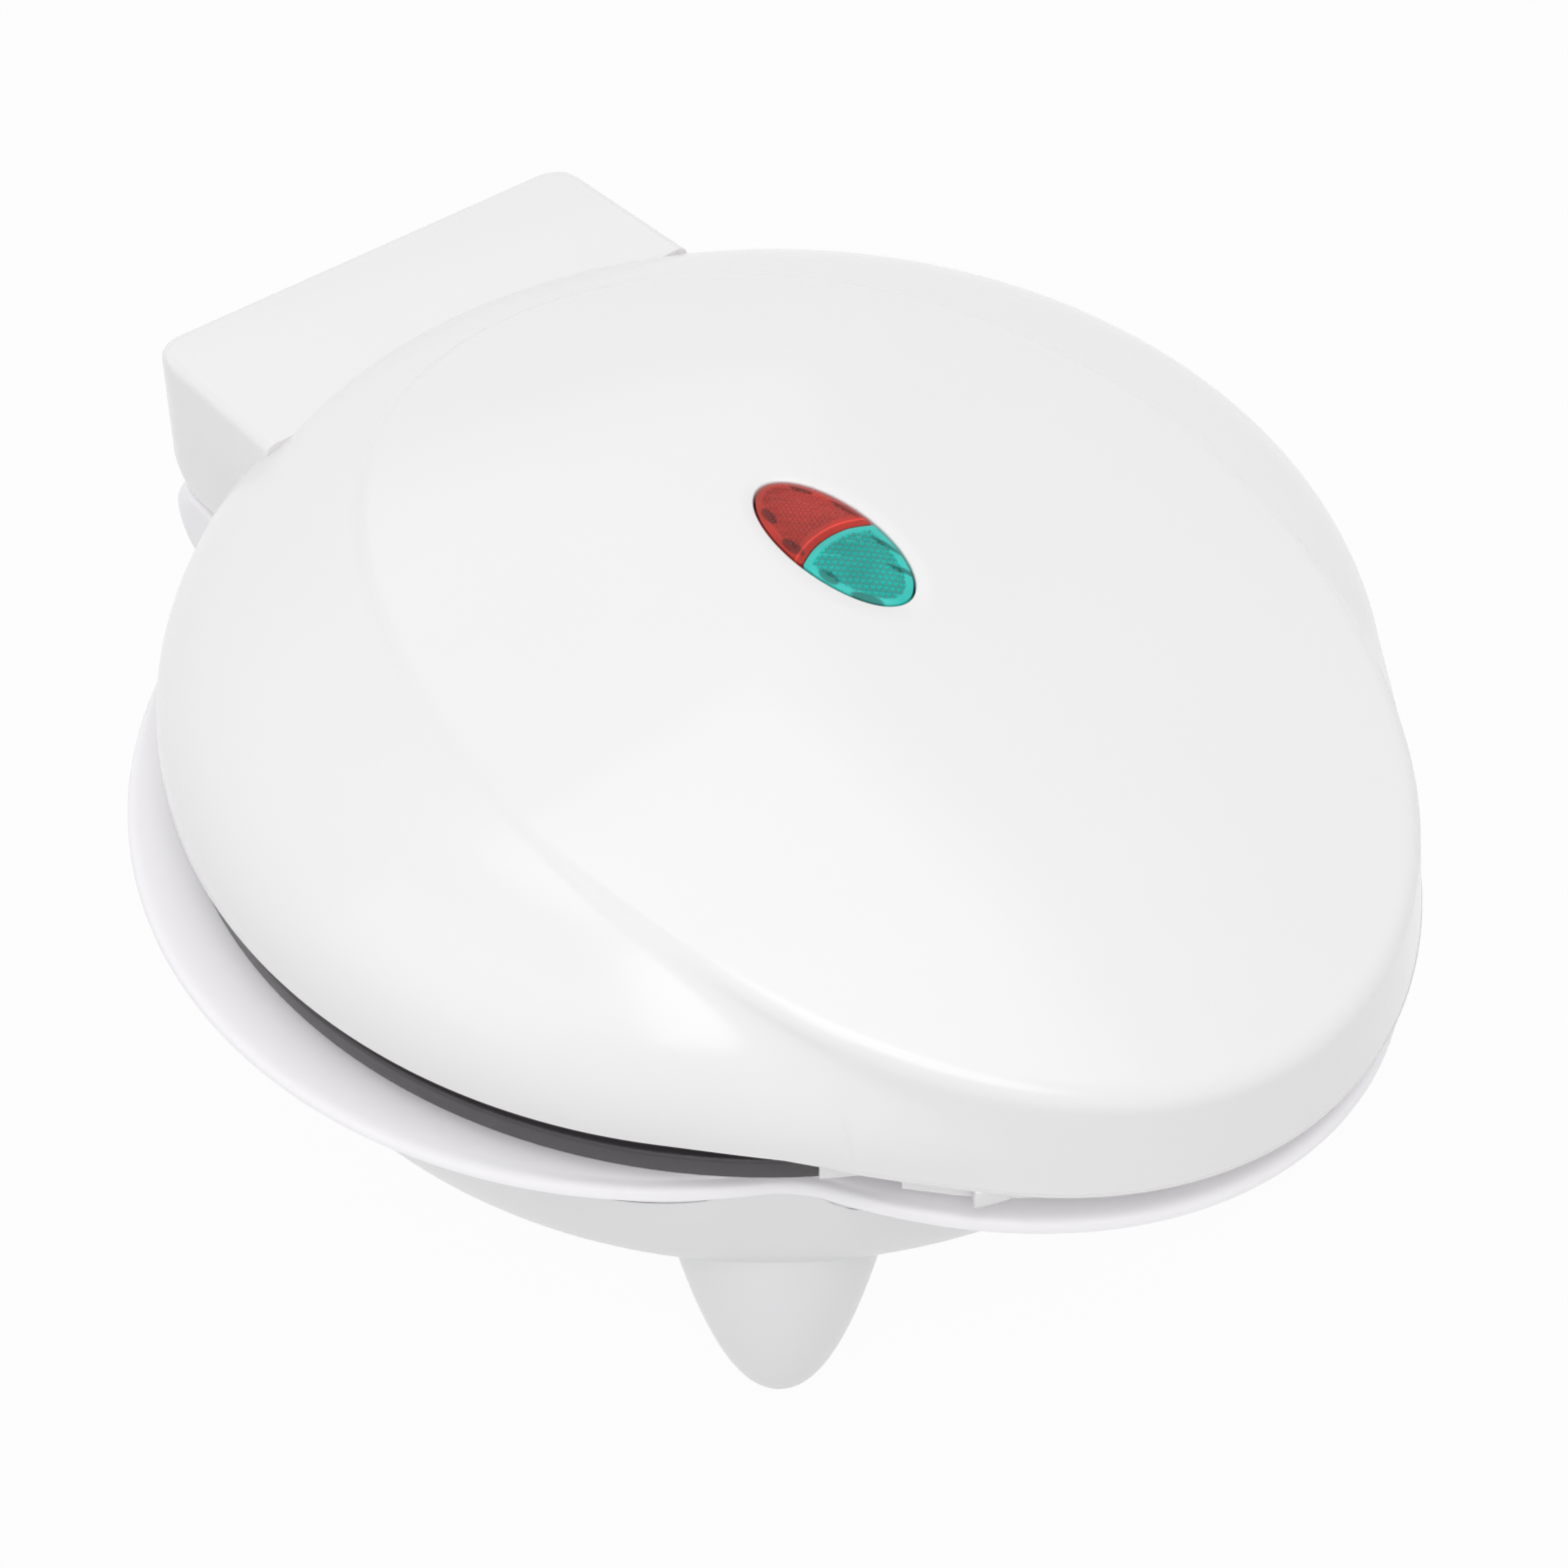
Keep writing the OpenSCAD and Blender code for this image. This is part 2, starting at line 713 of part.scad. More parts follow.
// Lamp lying across the carrier's window, with its two lead wires.
module lamp(side) {
    translate([0, -lens_y + side * lamp_shift, lamp_z]) rotate([0, 90, 0]) {
        translate([0, 0, -8]) cylinder(r = lamp_r, h = 16);
        translate([0, 0, -12]) cylinder(r = 0.4, h = 24);
    }
}

module red_lamp() {
    color("#e8a090") lamp(1);
}

module green_lamp() {
    color("#a8d8c8") lamp(-1);
}

module hinge_pins() {
    color(steel) at_pins(pin_half, pin_r);
}

// ---- base ----

module tray_plan(inset) {
    r = tray_r - inset;
    for (s = [-1, 1]) translate([s * tray_shift, tray_y]) circle(r = r, $fn = hull_fn * 2);
    translate([-tray_shift, tray_y - r]) square([2 * tray_shift, 2 * r]);
}

module lip_plan(inset) {
    translate([0, -lip_y]) polygon(oval(lip_a - inset, lip_b - inset, hull_fn * 2));
}

// Solid from the tray's rim down to the foot of its slope.
module slope(inset, lift) {
    hull() {
        translate([0, 0, -tray_drop - tray_t + lift]) linear_extrude(height = tray_t) children();
        translate([0, 0, lift - slope_drop]) cylinder(r = seat_r - inset, h = 0.1, $fn = hull_fn * 2);
    }
}

module dish_solid(inset, lift) {
    slope(inset, lift) tray_plan(inset);
    slope(inset, lift) lip_plan(inset);
}

module block_solid(inset) {
    low = inset > 0 ? -60 : bush_z - block_r + inset;
    intersection() {
        along_x(hinge_w - inset) {
            translate([block_y, bush_z]) circle(r = block_r - inset);
            translate([60, low]) square([block_y - 60, table_z - inset - low]);
        }
        translate([0, 0, -80]) linear_extrude(height = 120)
            housing_plan(hinge_w - inset, block_back - inset);
    }
}

module base_tray() {
    low = low_ledge - ledge_t;
    color(white) difference() {
        union() {
            difference() {
                dish_solid(0, 0);
                dish_solid(1.2, tray_t);
                translate([0, 0, -far]) cylinder(r = seat_r - 1, h = 2 * far);
                translate([-hinge_w - 1, 60, table_z]) cube([2 * hinge_w + 2, far, far]);
                translate([-hinge_w + 1, 60, -far]) cube([2 * hinge_w - 2, far, 2 * far]);
            }
            rotate_extrude() polygon([
                [seat_in, low_under], [seat_r, low_under], [seat_r, low],
                [seat_in - ledge_w, low], [seat_in - ledge_w, low_ledge], [seat_in, low_ledge]
            ]);
            difference() {
                block_solid(0);
                block_solid(wall);
                translate([0, 0, -far]) cylinder(r = seat_r - 1, h = 2 * far);
            }
            translate([0, block_back, bush_z]) rotate([90, 0, 0]) cylinder(r = bush_face_r, h = 7);
            for (s = [-1, 1]) translate([s * ear_x, 0, 0]) along_x(ear_w / 2) {
                translate([axis_y, axis_z]) circle(r = ear_r);
                translate([axis_y - ear_r, table_z - 1]) square([2 * ear_r, table_drop + 1]);
            }
            around(post_turns, post_pitch) translate([0, 0, bowl_floor])
                cylinder(r = post_r, h = low - bowl_floor + 1);
        }
        around(post_turns, post_pitch) translate([0, 0, bowl_floor - 1])
            cylinder(r = screw_r + thread_play, h = screw_len + 1);
        around(boss_turns, boss_pitch) translate([0, 0, low - 1])
            cylinder(r = screw_r + thread_play, h = ledge_t + 2);
        at_pins(ear_w, pin_r + pin_play);
        translate([0, block_back + 1, bush_z]) rotate([90, 0, 0]) {
            cylinder(r = bush_r + slip, h = 20);
            cylinder(r = bush_flange_r + slip, h = bush_flange_t + 1);
        }
    }
}

module bowl_solid(inset) {
    points = [for (t = [0:10:90]) [
        bowl_flat + (bowl_r - inset - bowl_flat) * pow(max(0, cos(t)), bowl_power),
        bowl_shoulder - (bowl_drop - inset + bowl_shoulder) * sin(t)
    ]];
    top = inset > 0 ? bowl_top + 5 : bowl_top;
    rotate_extrude() polygon(concat([[0, top], [bowl_r - inset, top]], points, [[0, inset - bowl_drop]]));
}

// Leaning rounded cone, its tip at foot_tip.
module foot_cone(r, len) {
    points = [for (s = [0:0.05:1.15]) [r * pow(s, 1 / foot_power), len * (s - 1)]];
    translate([foot_top_pitch, 0, foot_top]) rotate([0, -foot_lean, 0])
        rotate_extrude() polygon(concat(points, [[0, len * 0.15]]));
}

module base_bowl() {
    color(white) difference() {
        union() {
            bowl_solid(0);
            intersection() {
                for (t = foot_turns) rotate([0, 0, t]) foot_cone(foot_r, foot_len);
                translate([0, 0, foot_tip]) cylinder(r = far, h = foot_top - foot_tip + 2);
            }
            translate([-hinge_w, block_root - 10, bush_z - block_r - slip - wall])
                cube([2 * hinge_w, block_y - block_root + 10, wall]);
        }
        bowl_solid(wall);
        for (t = foot_turns) rotate([0, 0, t]) foot_cone(foot_r - foot_wall, foot_len - 8);
        dish_solid(-slip, -slip);
        translate([0, 0, -far / 2]) intersection() {
            translate([0, 0, far / 2]) block_solid(-slip);
            translate([-far / 2, block_root, 0]) cube([far, far, far]);
        }
        around(post_turns, post_pitch) translate([0, 0, -bowl_drop - 1])
            cylinder(r = screw_r + thread_play, h = wall + 2);
        around(foot_turns, pad_pitch) translate([0, 0, foot_tip - 1])
            cylinder(r = pad_r + slip / 2, h = pad_h);
        for (i = [0:vents - 1]) rotate([0, 0, (i + 0.5) * 360 / vents])
            translate([vent_start, -vent_w / 2, -bowl_drop - 1]) cube([vent_l, vent_w, wall + 2]);
    }
}

module foot_pads() {
    color("#8a8a8c") around(foot_turns, pad_pitch) translate([0, 0, -rest_drop])
        cylinder(r = pad_r, h = pad_h);
}

module bottom_screws() {
    color(steel) around(post_turns, post_pitch) translate([0, 0, -bowl_drop]) screw(wall + screw_len - 1);
}

module lower_plate() {
    color(cast_grey) lower() cast_plate(plate_r, low_flange_h);
}

module lower_heater() {
    color(steel) lower() heater();
}

module lower_heater_clamp() {
    color(tin) lower() translate([0, 0, -clamp_dip - clamp_t]) heater_clamp();
}

module lower_clamp_screw() {
    color(steel) lower() clamp_screw();
}

module lower_heat_shield() {
    color(tin) lower() translate([0, 0, -shield_drop - shield_t]) heat_shield(low_shield_r);
}

module lower_plate_screws() {
    color(steel) lower() plate_screws();
}

module lower_thermostat() {
    color("#d8d2c4") lower() at_thermostat() thermostat();
}

module thermal_fuse() {
    color("#e6e0d0") lower() translate([0, -20, -clamp_dip - clamp_t - 2.1]) rotate([0, 90, 0]) {
        translate([0, 0, -7]) cylinder(r = 2, h = 14);
        translate([0, 0, -11]) cylinder(r = 0.5, h = 22);
    }
}

module at_terminals(dy) {
    at_cold_ends() translate([0, dy, terminal_top]) children();
}

module terminal_block() {
    color("#efe9dc") difference() {
        translate([-cold_x - terminal_side, cold_y - terminal_front, bowl_floor])
            cube([2 * (cold_x + terminal_side), terminal_depth, terminal_h]);
        at_terminals(0) translate([0, 0, -5]) cylinder(r = tab_r, h = 6);
        at_terminals(terminal_pitch) translate([0, 0, -6]) cylinder(r = screw_r, h = 7);
    }
}

module terminal_screws() {
    color(steel) at_terminals(terminal_pitch) {
        translate([0, 0, -5]) cylinder(r = screw_r - thread_play, h = 6);
        cylinder(r = screw_r + 1, h = 1.8);
    }
}

module heater_leads() {
    lead_top = low_face - heater_dip - cold_end - tab_l;
    color("#b87333") at_terminals(0) translate([0, 0, -4])
        cylinder(r = tab_r - slip, h = lead_top - terminal_top + 4);
}

module cord_bush() {
    color("#e4e3e1") translate([0, block_back, bush_z]) rotate([90, 0, 0]) difference() {
        union() {
            cylinder(r = bush_r, h = bush_l);
            cylinder(r = bush_flange_r, h = bush_flange_t);
        }
        translate([0, 0, -1]) cylinder(r = cord_bore, h = bush_l + 2);
    }
}

seat() lid_shell();
seat() lid_frame();
seat() lid_screws();
seat() upper_plate();
seat() upper_heater();
seat() upper_heater_clamp();
seat() upper_clamp_screw();
seat() upper_heat_shield();
seat() upper_plate_screws();
seat() upper_thermostat();
seat() lens_red();
seat() lens_green();
seat() lamp_carrier();
seat() lamp_carrier_screws();
seat() red_lamp();
seat() green_lamp();
seat() hinge_pins();
seat() base_tray();
seat() base_bowl();
seat() foot_pads();
seat() bottom_screws();
seat() lower_plate();
seat() lower_heater();
seat() lower_heater_clamp();
seat() lower_clamp_screw();
seat() lower_heat_shield();
seat() lower_plate_screws();
seat() lower_thermostat();
seat() thermal_fuse();
seat() terminal_block();
seat() terminal_screws();
seat() heater_leads();
seat() cord_bush();
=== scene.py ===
import math

import bmesh
import bpy
import numpy as np
from mathutils import Matrix, Vector


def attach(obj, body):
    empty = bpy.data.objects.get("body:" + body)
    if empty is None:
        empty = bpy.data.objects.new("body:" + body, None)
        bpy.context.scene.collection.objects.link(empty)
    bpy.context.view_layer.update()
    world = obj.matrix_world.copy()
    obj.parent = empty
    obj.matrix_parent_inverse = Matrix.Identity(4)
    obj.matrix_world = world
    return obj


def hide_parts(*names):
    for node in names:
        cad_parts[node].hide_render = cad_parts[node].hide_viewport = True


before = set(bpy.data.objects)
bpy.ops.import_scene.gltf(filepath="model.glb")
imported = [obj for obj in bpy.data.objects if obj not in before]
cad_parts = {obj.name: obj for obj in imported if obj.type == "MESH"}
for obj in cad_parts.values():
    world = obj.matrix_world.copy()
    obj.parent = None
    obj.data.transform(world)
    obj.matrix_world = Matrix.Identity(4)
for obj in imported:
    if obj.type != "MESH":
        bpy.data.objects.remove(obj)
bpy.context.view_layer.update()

turn = 2 * math.pi
axisUp = (0, 0, 1)

# Shapes are drawn in millimetres about the middle of the lid's rim, as the solids are, and placed at the end.
rimPlace = {"back": 4.25, "height": 84.5}


def placed(points):
    return (np.asarray(points, dtype=float) + (0, -rimPlace["back"], rimPlace["height"])) * 0.001


def ramp(low, high, value):
    t = np.clip((value - low) / (high - low), 0, 1)
    return t * t * (3 - 2 * t)


def roundJoin(a, b, radius):
    # Union of two distance fields with a fillet of that radius in the inside corner.
    reach = np.hypot(np.maximum(radius - a, 0), np.maximum(radius - b, 0))
    return np.maximum(radius, np.minimum(a, b)) - reach


def roundMeet(a, b, radius):
    return -roundJoin(-a, -b, radius)


def spun(profile, turns, closed):
    # A line of (radius, height) points spun about the middle line; closed joins its two ends.
    bm = bmesh.new()
    verts = [bm.verts.new((r, 0, z)) for r, z in profile]
    edges = [bm.edges.new(pair) for pair in zip(verts, verts[1:])]
    if closed:
        edges.append(bm.edges.new((verts[-1], verts[0])))
    bmesh.ops.spin(bm, geom=verts + edges, cent=(0, 0, 0), axis=axisUp, dvec=(0, 0, 0), angle=turn,
                   steps=turns, use_merge=True)
    return bm


def fillHoles(bm):
    bmesh.ops.holes_fill(bm, edges=[e for e in bm.edges if e.is_boundary], sides=0)


def shapedGrid(table, closed=False, fillEnds=False):
    # table[row, turn] is a place; each ring of the spun grid takes one row.
    rows, turns = table.shape[:2]
    bm = spun([(1 + row, 0) for row in range(rows)], turns, closed)
    for vert in bm.verts:
        row = round(math.hypot(vert.co.x, vert.co.y)) - 1
        step = round(math.atan2(vert.co.y, vert.co.x) / turn * turns) % turns
        vert.co = table[row, step]
    if fillEnds:
        fillHoles(bm)
    bmesh.ops.recalc_face_normals(bm, faces=bm.faces[:])
    return bm


def turned(profile, turns, closed=True):
    bm = spun(profile, turns, closed)
    bmesh.ops.remove_doubles(bm, verts=bm.verts[:], dist=0.001)
    bmesh.ops.recalc_face_normals(bm, faces=bm.faces[:])
    return bm


def moved(bm, vec):
    bmesh.ops.translate(bm, verts=bm.verts[:], vec=vec)
    return bm


def rotated(bm, angle, axis):
    bmesh.ops.rotate(bm, verts=bm.verts[:], cent=(0, 0, 0), matrix=Matrix.Rotation(angle, 3, axis))
    return bm


def sliced(bm, place, normal, clearOuter=False):
    bmesh.ops.bisect_plane(bm, geom=bm.verts[:] + bm.edges[:] + bm.faces[:], plane_co=place, plane_no=normal,
                           clear_outer=clearOuter, dist=0.0001)


def cylinder(place, radius, height, turns=48):
    bm = bmesh.new()
    bmesh.ops.create_cone(bm, cap_ends=True, segments=turns, radius1=radius, radius2=radius, depth=height)
    return moved(bm, Vector(place) + Vector((0, 0, height / 2)))


def onCircle(radius, degrees, height=0.0):
    a = math.radians(degrees)
    return radius * math.cos(a), radius * math.sin(a), height


def box(low, high):
    bm = bmesh.new()
    bmesh.ops.create_cube(bm, size=1)
    size = Vector(high) - Vector(low)
    bmesh.ops.scale(bm, verts=bm.verts[:], vec=size)
    return moved(bm, Vector(low) + size / 2)


def bevelSharp(bm, width, segments=3, limit=35):
    edges = [e for e in bm.edges if len(e.link_faces) == 2 and e.calc_face_angle(0) > math.radians(limit)]
    bmesh.ops.bevel(bm, geom=edges, offset=width, offset_type="OFFSET", affect="EDGES", segments=segments,
                    profile=0.5, material=-1, clamp_overlap=True)
    return bm


def added(*solids):
    whole = solids[0]
    for solid in solids[1:]:
        mesh = bpy.data.meshes.new("shared")
        solid.to_mesh(mesh)
        whole.from_mesh(mesh)
        bpy.data.meshes.remove(mesh)
        solid.free()
    return whole


def carved(bm, tool, operation="DIFFERENCE"):
    pair = []
    for name, solid in (("blank", bm), ("cutter", tool)):
        mesh = bpy.data.meshes.new(name)
        solid.to_mesh(mesh)
        solid.free()
        pair.append(bpy.data.objects.new(name, mesh))
        bpy.context.scene.collection.objects.link(pair[-1])
    modifier = pair[0].modifiers.new("carve", "BOOLEAN")
    modifier.operation = operation
    modifier.solver = "EXACT"
    modifier.object = pair[1]
    depsgraph = bpy.context.evaluated_depsgraph_get()
    result = bmesh.new()
    result.from_mesh(pair[0].evaluated_get(depsgraph).to_mesh())
    for part in pair:
        mesh = part.data
        bpy.data.objects.remove(part)
        bpy.data.meshes.remove(mesh)
    return result


def addPiece(bm, name, body, material, nodes=(), sharp=32):
    for vert in bm.verts:
        vert.co = placed(vert.co)
    for face in bm.faces:
        face.smooth = True
    for edge in bm.edges:
        if len(edge.link_faces) == 2 and edge.calc_face_angle(0) > math.radians(sharp):
            edge.smooth = False
    mesh = bpy.data.meshes.new(name)
    bm.to_mesh(mesh)
    bm.free()
    piece = bpy.data.objects.new(name, mesh)
    bpy.context.scene.collection.objects.link(piece)
    mesh.materials.append(material)
    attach(piece, body)
    if nodes:
        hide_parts(*nodes)
    return piece


print("helpers ready")

# Camera and light
view = {
    "place": (-0.193109, -0.228647, 0.364117),
    "turn": 41.161,      # degrees to the right of straight ahead
    "down": 47.016,
    "roll": -0.134,
    "lens": 50.085,
}


def addCamera():
    side, down, roll = (math.radians(view[key]) for key in ("turn", "down", "roll"))
    right = Vector((math.cos(side), -math.sin(side), 0))
    ahead = Vector((math.sin(side) * math.cos(down), math.cos(side) * math.cos(down), -math.sin(down)))
    up = right.cross(ahead)
    rolledRight = math.cos(roll) * right + math.sin(roll) * up
    rolledUp = -math.sin(roll) * right + math.cos(roll) * up
    data = bpy.data.cameras.new("camera")
    data.lens = view["lens"]
    data.sensor_width = 36
    data.sensor_fit = "HORIZONTAL"
    data.clip_start = 0.01
    camera = bpy.data.objects.new("camera", data)
    bpy.context.scene.collection.objects.link(camera)
    camera.matrix_world = Matrix((
        (rolledRight.x, rolledUp.x, -ahead.x, view["place"][0]),
        (rolledRight.y, rolledUp.y, -ahead.y, view["place"][1]),
        (rolledRight.z, rolledUp.z, -ahead.z, view["place"][2]),
        (0, 0, 0, 1)))
    bpy.context.scene.camera = camera


lamps = {
    "front": {"place": (-0.5, -0.62, 1.15), "size": 0.9, "power": 4.7},
    "left": {"place": (-1.1, 0.1, 0.75), "size": 0.9, "power": 1.0},
    "overhead": {"place": (0, 0, 1.3), "size": 1.0, "power": 3.7},
    "back": {"place": (0.35, 0.75, 0.95), "size": 0.7, "power": 0.7},
}
# The walls around the object are brighter low down than the ceiling.
surroundings = {
    "ceiling": 0.39, "walls": 1.04, "wallPower": 2, "white": 1.0,
    "floorHalf": 6, "floorShade": 0.04, "paper": 0.55,
}


def addLamps():
    middle = Vector((0, 0, 0.06))
    for name, lamp in lamps.items():
        data = bpy.data.lights.new(name, "AREA")
        data.shape = "SQUARE"
        data.size = lamp["size"]
        data.energy = lamp["power"]
        light = bpy.data.objects.new(name, data)
        light.location = lamp["place"]
        light.rotation_euler = (middle - light.location).to_track_quat("-Z", "Y").to_euler()
        bpy.context.scene.collection.objects.link(light)


def mathNode(tree, operation, *values):
    # Each value is a number or the output that feeds the socket.
    node = tree.nodes.new("ShaderNodeMath")
    node.operation = operation
    for socket, value in zip(node.inputs, values):
        if isinstance(value, (int, float)):
            socket.default_value = value
        else:
            tree.links.new(value, socket)
    return node.outputs[0]


def seenDirectly(tree):
    # 1 where the eye looks straight, by mirror or through glass.
    path = tree.nodes.new("ShaderNodeLightPath").outputs
    seen = mathNode(tree, "MAXIMUM", path["Is Camera Ray"], path["Is Glossy Ray"])
    return mathNode(tree, "MAXIMUM", seen, path["Is Transmission Ray"])


def addSurroundings():
    world = bpy.data.worlds.new("studio")
    world.use_nodes = True
    tree = world.node_tree
    nodes, links = tree.nodes, tree.links
    background = nodes["Background"]
    background.inputs["Color"].default_value = (1, 1, 1, 1)
    height = nodes.new("ShaderNodeSeparateXYZ")
    links.new(nodes.new("ShaderNodeTexCoord").outputs["Generated"], height.inputs[0])
    steep = mathNode(tree, "ABSOLUTE", height.outputs["Z"])
    low = mathNode(tree, "SUBTRACT", 1, steep)
    gain = mathNode(tree, "POWER", low, surroundings["wallPower"])
    level = mathNode(tree, "MULTIPLY_ADD", gain, surroundings["walls"], surroundings["ceiling"])
    blend = nodes.new("ShaderNodeMix")
    blend.inputs["B"].default_value = surroundings["white"]
    links.new(level, blend.inputs["A"])
    links.new(seenDirectly(tree), blend.inputs["Factor"])
    links.new(blend.outputs["Result"], background.inputs["Strength"])
    bpy.context.scene.world = world


def addFloor():
    bm = bmesh.new()
    bmesh.ops.create_grid(bm, x_segments=1, y_segments=1, size=surroundings["floorHalf"])
    mesh = bpy.data.meshes.new("floor")
    bm.to_mesh(mesh)
    bm.free()
    floor = bpy.data.objects.new("floor", mesh)
    bpy.context.scene.collection.objects.link(floor)
    paint = bpy.data.materials.new("floorPaper")
    paint.use_nodes = True
    tree = paint.node_tree
    nodes, links = tree.nodes, tree.links
    nodes.clear()
    paper = nodes.new("ShaderNodeBsdfDiffuse")
    paper.inputs["Color"].default_value = (*[surroundings["paper"]] * 3, 1)
    glow = nodes.new("ShaderNodeEmission")
    glow.inputs["Color"].default_value = (1, 1, 1, 1)
    share = mathNode(tree, "MULTIPLY", seenDirectly(tree), 1 - surroundings["floorShade"])
    mix = nodes.new("ShaderNodeMixShader")
    links.new(share, mix.inputs[0])
    links.new(paper.outputs[0], mix.inputs[1])
    links.new(glow.outputs[0], mix.inputs[2])
    output = nodes.new("ShaderNodeOutputMaterial")
    links.new(mix.outputs[0], output.inputs["Surface"])
    mesh.materials.append(paint)


addCamera()
addLamps()
addSurroundings()
addFloor()
bpy.context.scene.view_settings.view_transform = "Standard"
print("camera, lamps and floor placed")


# Finishes
def makeVariationGroup():
    group = bpy.data.node_groups.new("finishVariation", "ShaderNodeTree")
    sockets = {"INPUT": ("Color", "Mottle", "Patch Scale", "Roughness", "Spread", "Grain Scale"),
               "OUTPUT": ("Color", "Roughness", "Height")}
    for way, names in sockets.items():
        for name in names:
            kind = "NodeSocketColor" if name == "Color" else "NodeSocketFloat"
            group.interface.new_socket(name, in_out=way, socket_type=kind)
    nodes, links = group.nodes, group.links
    enter = nodes.new("NodeGroupInput")
    leave = nodes.new("NodeGroupOutput")
    coordinates = nodes.new("ShaderNodeTexCoord")
    patches = nodes.new("ShaderNodeTexNoise")
    patches.inputs["Detail"].default_value = 3
    grain = nodes.new("ShaderNodeTexNoise")
    grain.inputs["Detail"].default_value = 2
    for noise, scale in ((patches, "Patch Scale"), (grain, "Grain Scale")):
        links.new(coordinates.outputs["Object"], noise.inputs["Vector"])
        links.new(enter.outputs[scale], noise.inputs["Scale"])
    # Patches darken the colour by at most the mottle.
    shade = mathNode(group, "MULTIPLY", patches.outputs["Fac"], enter.outputs["Mottle"])
    darken = nodes.new("ShaderNodeMix")
    darken.data_type = "RGBA"
    darken.inputs["B"].default_value = (0, 0, 0, 1)
    links.new(shade, darken.inputs["Factor"])
    links.new(enter.outputs["Color"], darken.inputs["A"])
    links.new(darken.outputs["Result"], leave.inputs["Color"])
    centred = mathNode(group, "SUBTRACT", patches.outputs["Fac"], 0.5)
    swing = mathNode(group, "MULTIPLY_ADD", centred, enter.outputs["Spread"], enter.outputs["Roughness"])
    links.new(swing, leave.inputs["Roughness"])
    links.new(grain.outputs["Fac"], leave.inputs["Height"])
    return group


variation = makeVariationGroup()
finishes = {
    # Painted light: the lid's white is set lower, against the bright light on its top.
    "glossWhite": {"colour": (0.835, 0.825, 0.828), "mottle": 0.02, "patch": 30, "roughness": 0.24,
                   "spread": 0.05, "grain": 420, "bump": 0.00001, "coat": 0.35, "coatRoughness": 0.12},
    # Painted light: the tray's white is set brighter than the lid's, a painted lift of the shade the lid
    # casts on the tray.
    "satinWhitePaintedLift": {"colour": (0.925, 0.91, 0.935), "mottle": 0.025, "patch": 40, "roughness": 0.36,
                   "spread": 0.06, "grain": 900, "bump": 0.00002, "coat": 0.1, "coatRoughness": 0.3},
    "bowlWhite": {"colour": (0.815, 0.815, 0.825), "mottle": 0.03, "patch": 35, "roughness": 0.3,
                  "spread": 0.06, "grain": 600, "bump": 0.00002, "coat": 0.2, "coatRoughness": 0.2},
    "nonStick": {"colour": (0.049, 0.043, 0.048), "mottle": 0.3, "patch": 160, "roughness": 0.42,
                 "spread": 0.12, "grain": 2600, "bump": 0.00006, "coat": 0.15, "coatRoughness": 0.35},
    "screwSteel": {"colour": (0.62, 0.62, 0.63), "mottle": 0.15, "patch": 300, "roughness": 0.34,
                   "spread": 0.1, "grain": 3000, "bump": 0.00003, "metallic": 1},
    "tinnedSheet": {"colour": (0.72, 0.73, 0.74), "mottle": 0.12, "patch": 60, "roughness": 0.38,
                    "spread": 0.15, "grain": 1200, "bump": 0.00004, "metallic": 1},
    "heaterTube": {"colour": (0.3, 0.29, 0.28), "mottle": 0.25, "patch": 140, "roughness": 0.45,
                   "spread": 0.15, "grain": 2000, "bump": 0.00004, "metallic": 1},
    "ceramic": {"colour": (0.78, 0.74, 0.66), "mottle": 0.08, "patch": 200, "roughness": 0.6,
                "spread": 0.08, "grain": 3000, "bump": 0.00003},
    "leadCopper": {"colour": (0.72, 0.36, 0.2), "mottle": 0.15, "patch": 200, "roughness": 0.35,
                   "spread": 0.1, "grain": 2000, "bump": 0.00002, "metallic": 1},
    "greyRubber": {"colour": (0.25, 0.25, 0.26), "mottle": 0.1, "patch": 200, "roughness": 0.75,
                   "spread": 0.08, "grain": 3000, "bump": 0.00006},
    "paleRubber": {"colour": (0.76, 0.76, 0.75), "mottle": 0.06, "patch": 200, "roughness": 0.6,
                   "spread": 0.08, "grain": 3000, "bump": 0.00005},
    "redGlow": {"colour": (0.8, 0.22, 0.16), "mottle": 0.1, "patch": 300, "roughness": 0.25,
                "spread": 0.05, "grain": 2000, "bump": 0.00001, "coat": 0.5, "coatRoughness": 0.1},
    "greenGlow": {"colour": (0.2, 0.65, 0.5), "mottle": 0.1, "patch": 300, "roughness": 0.25,
                  "spread": 0.05, "grain": 2000, "bump": 0.00001, "coat": 0.5, "coatRoughness": 0.1},
    "redLens": {"colour": (0.66, 0.045, 0.03), "mottle": 0.55, "patch": 130, "roughness": 0.16,
                "spread": 0.05, "grain": 1500, "bump": 0.00001, "coat": 0.1, "coatRoughness": 0.08,
                "specular": 0.2, "usesPaintedShading": True},
    "greenLens": {"colour": (0.045, 0.72, 0.64), "mottle": 0.5, "patch": 130, "roughness": 0.16,
                  "spread": 0.05, "grain": 1500, "bump": 0.00001, "coat": 0.1, "coatRoughness": 0.08,
                  "specular": 0.2, "usesPaintedShading": True},
}


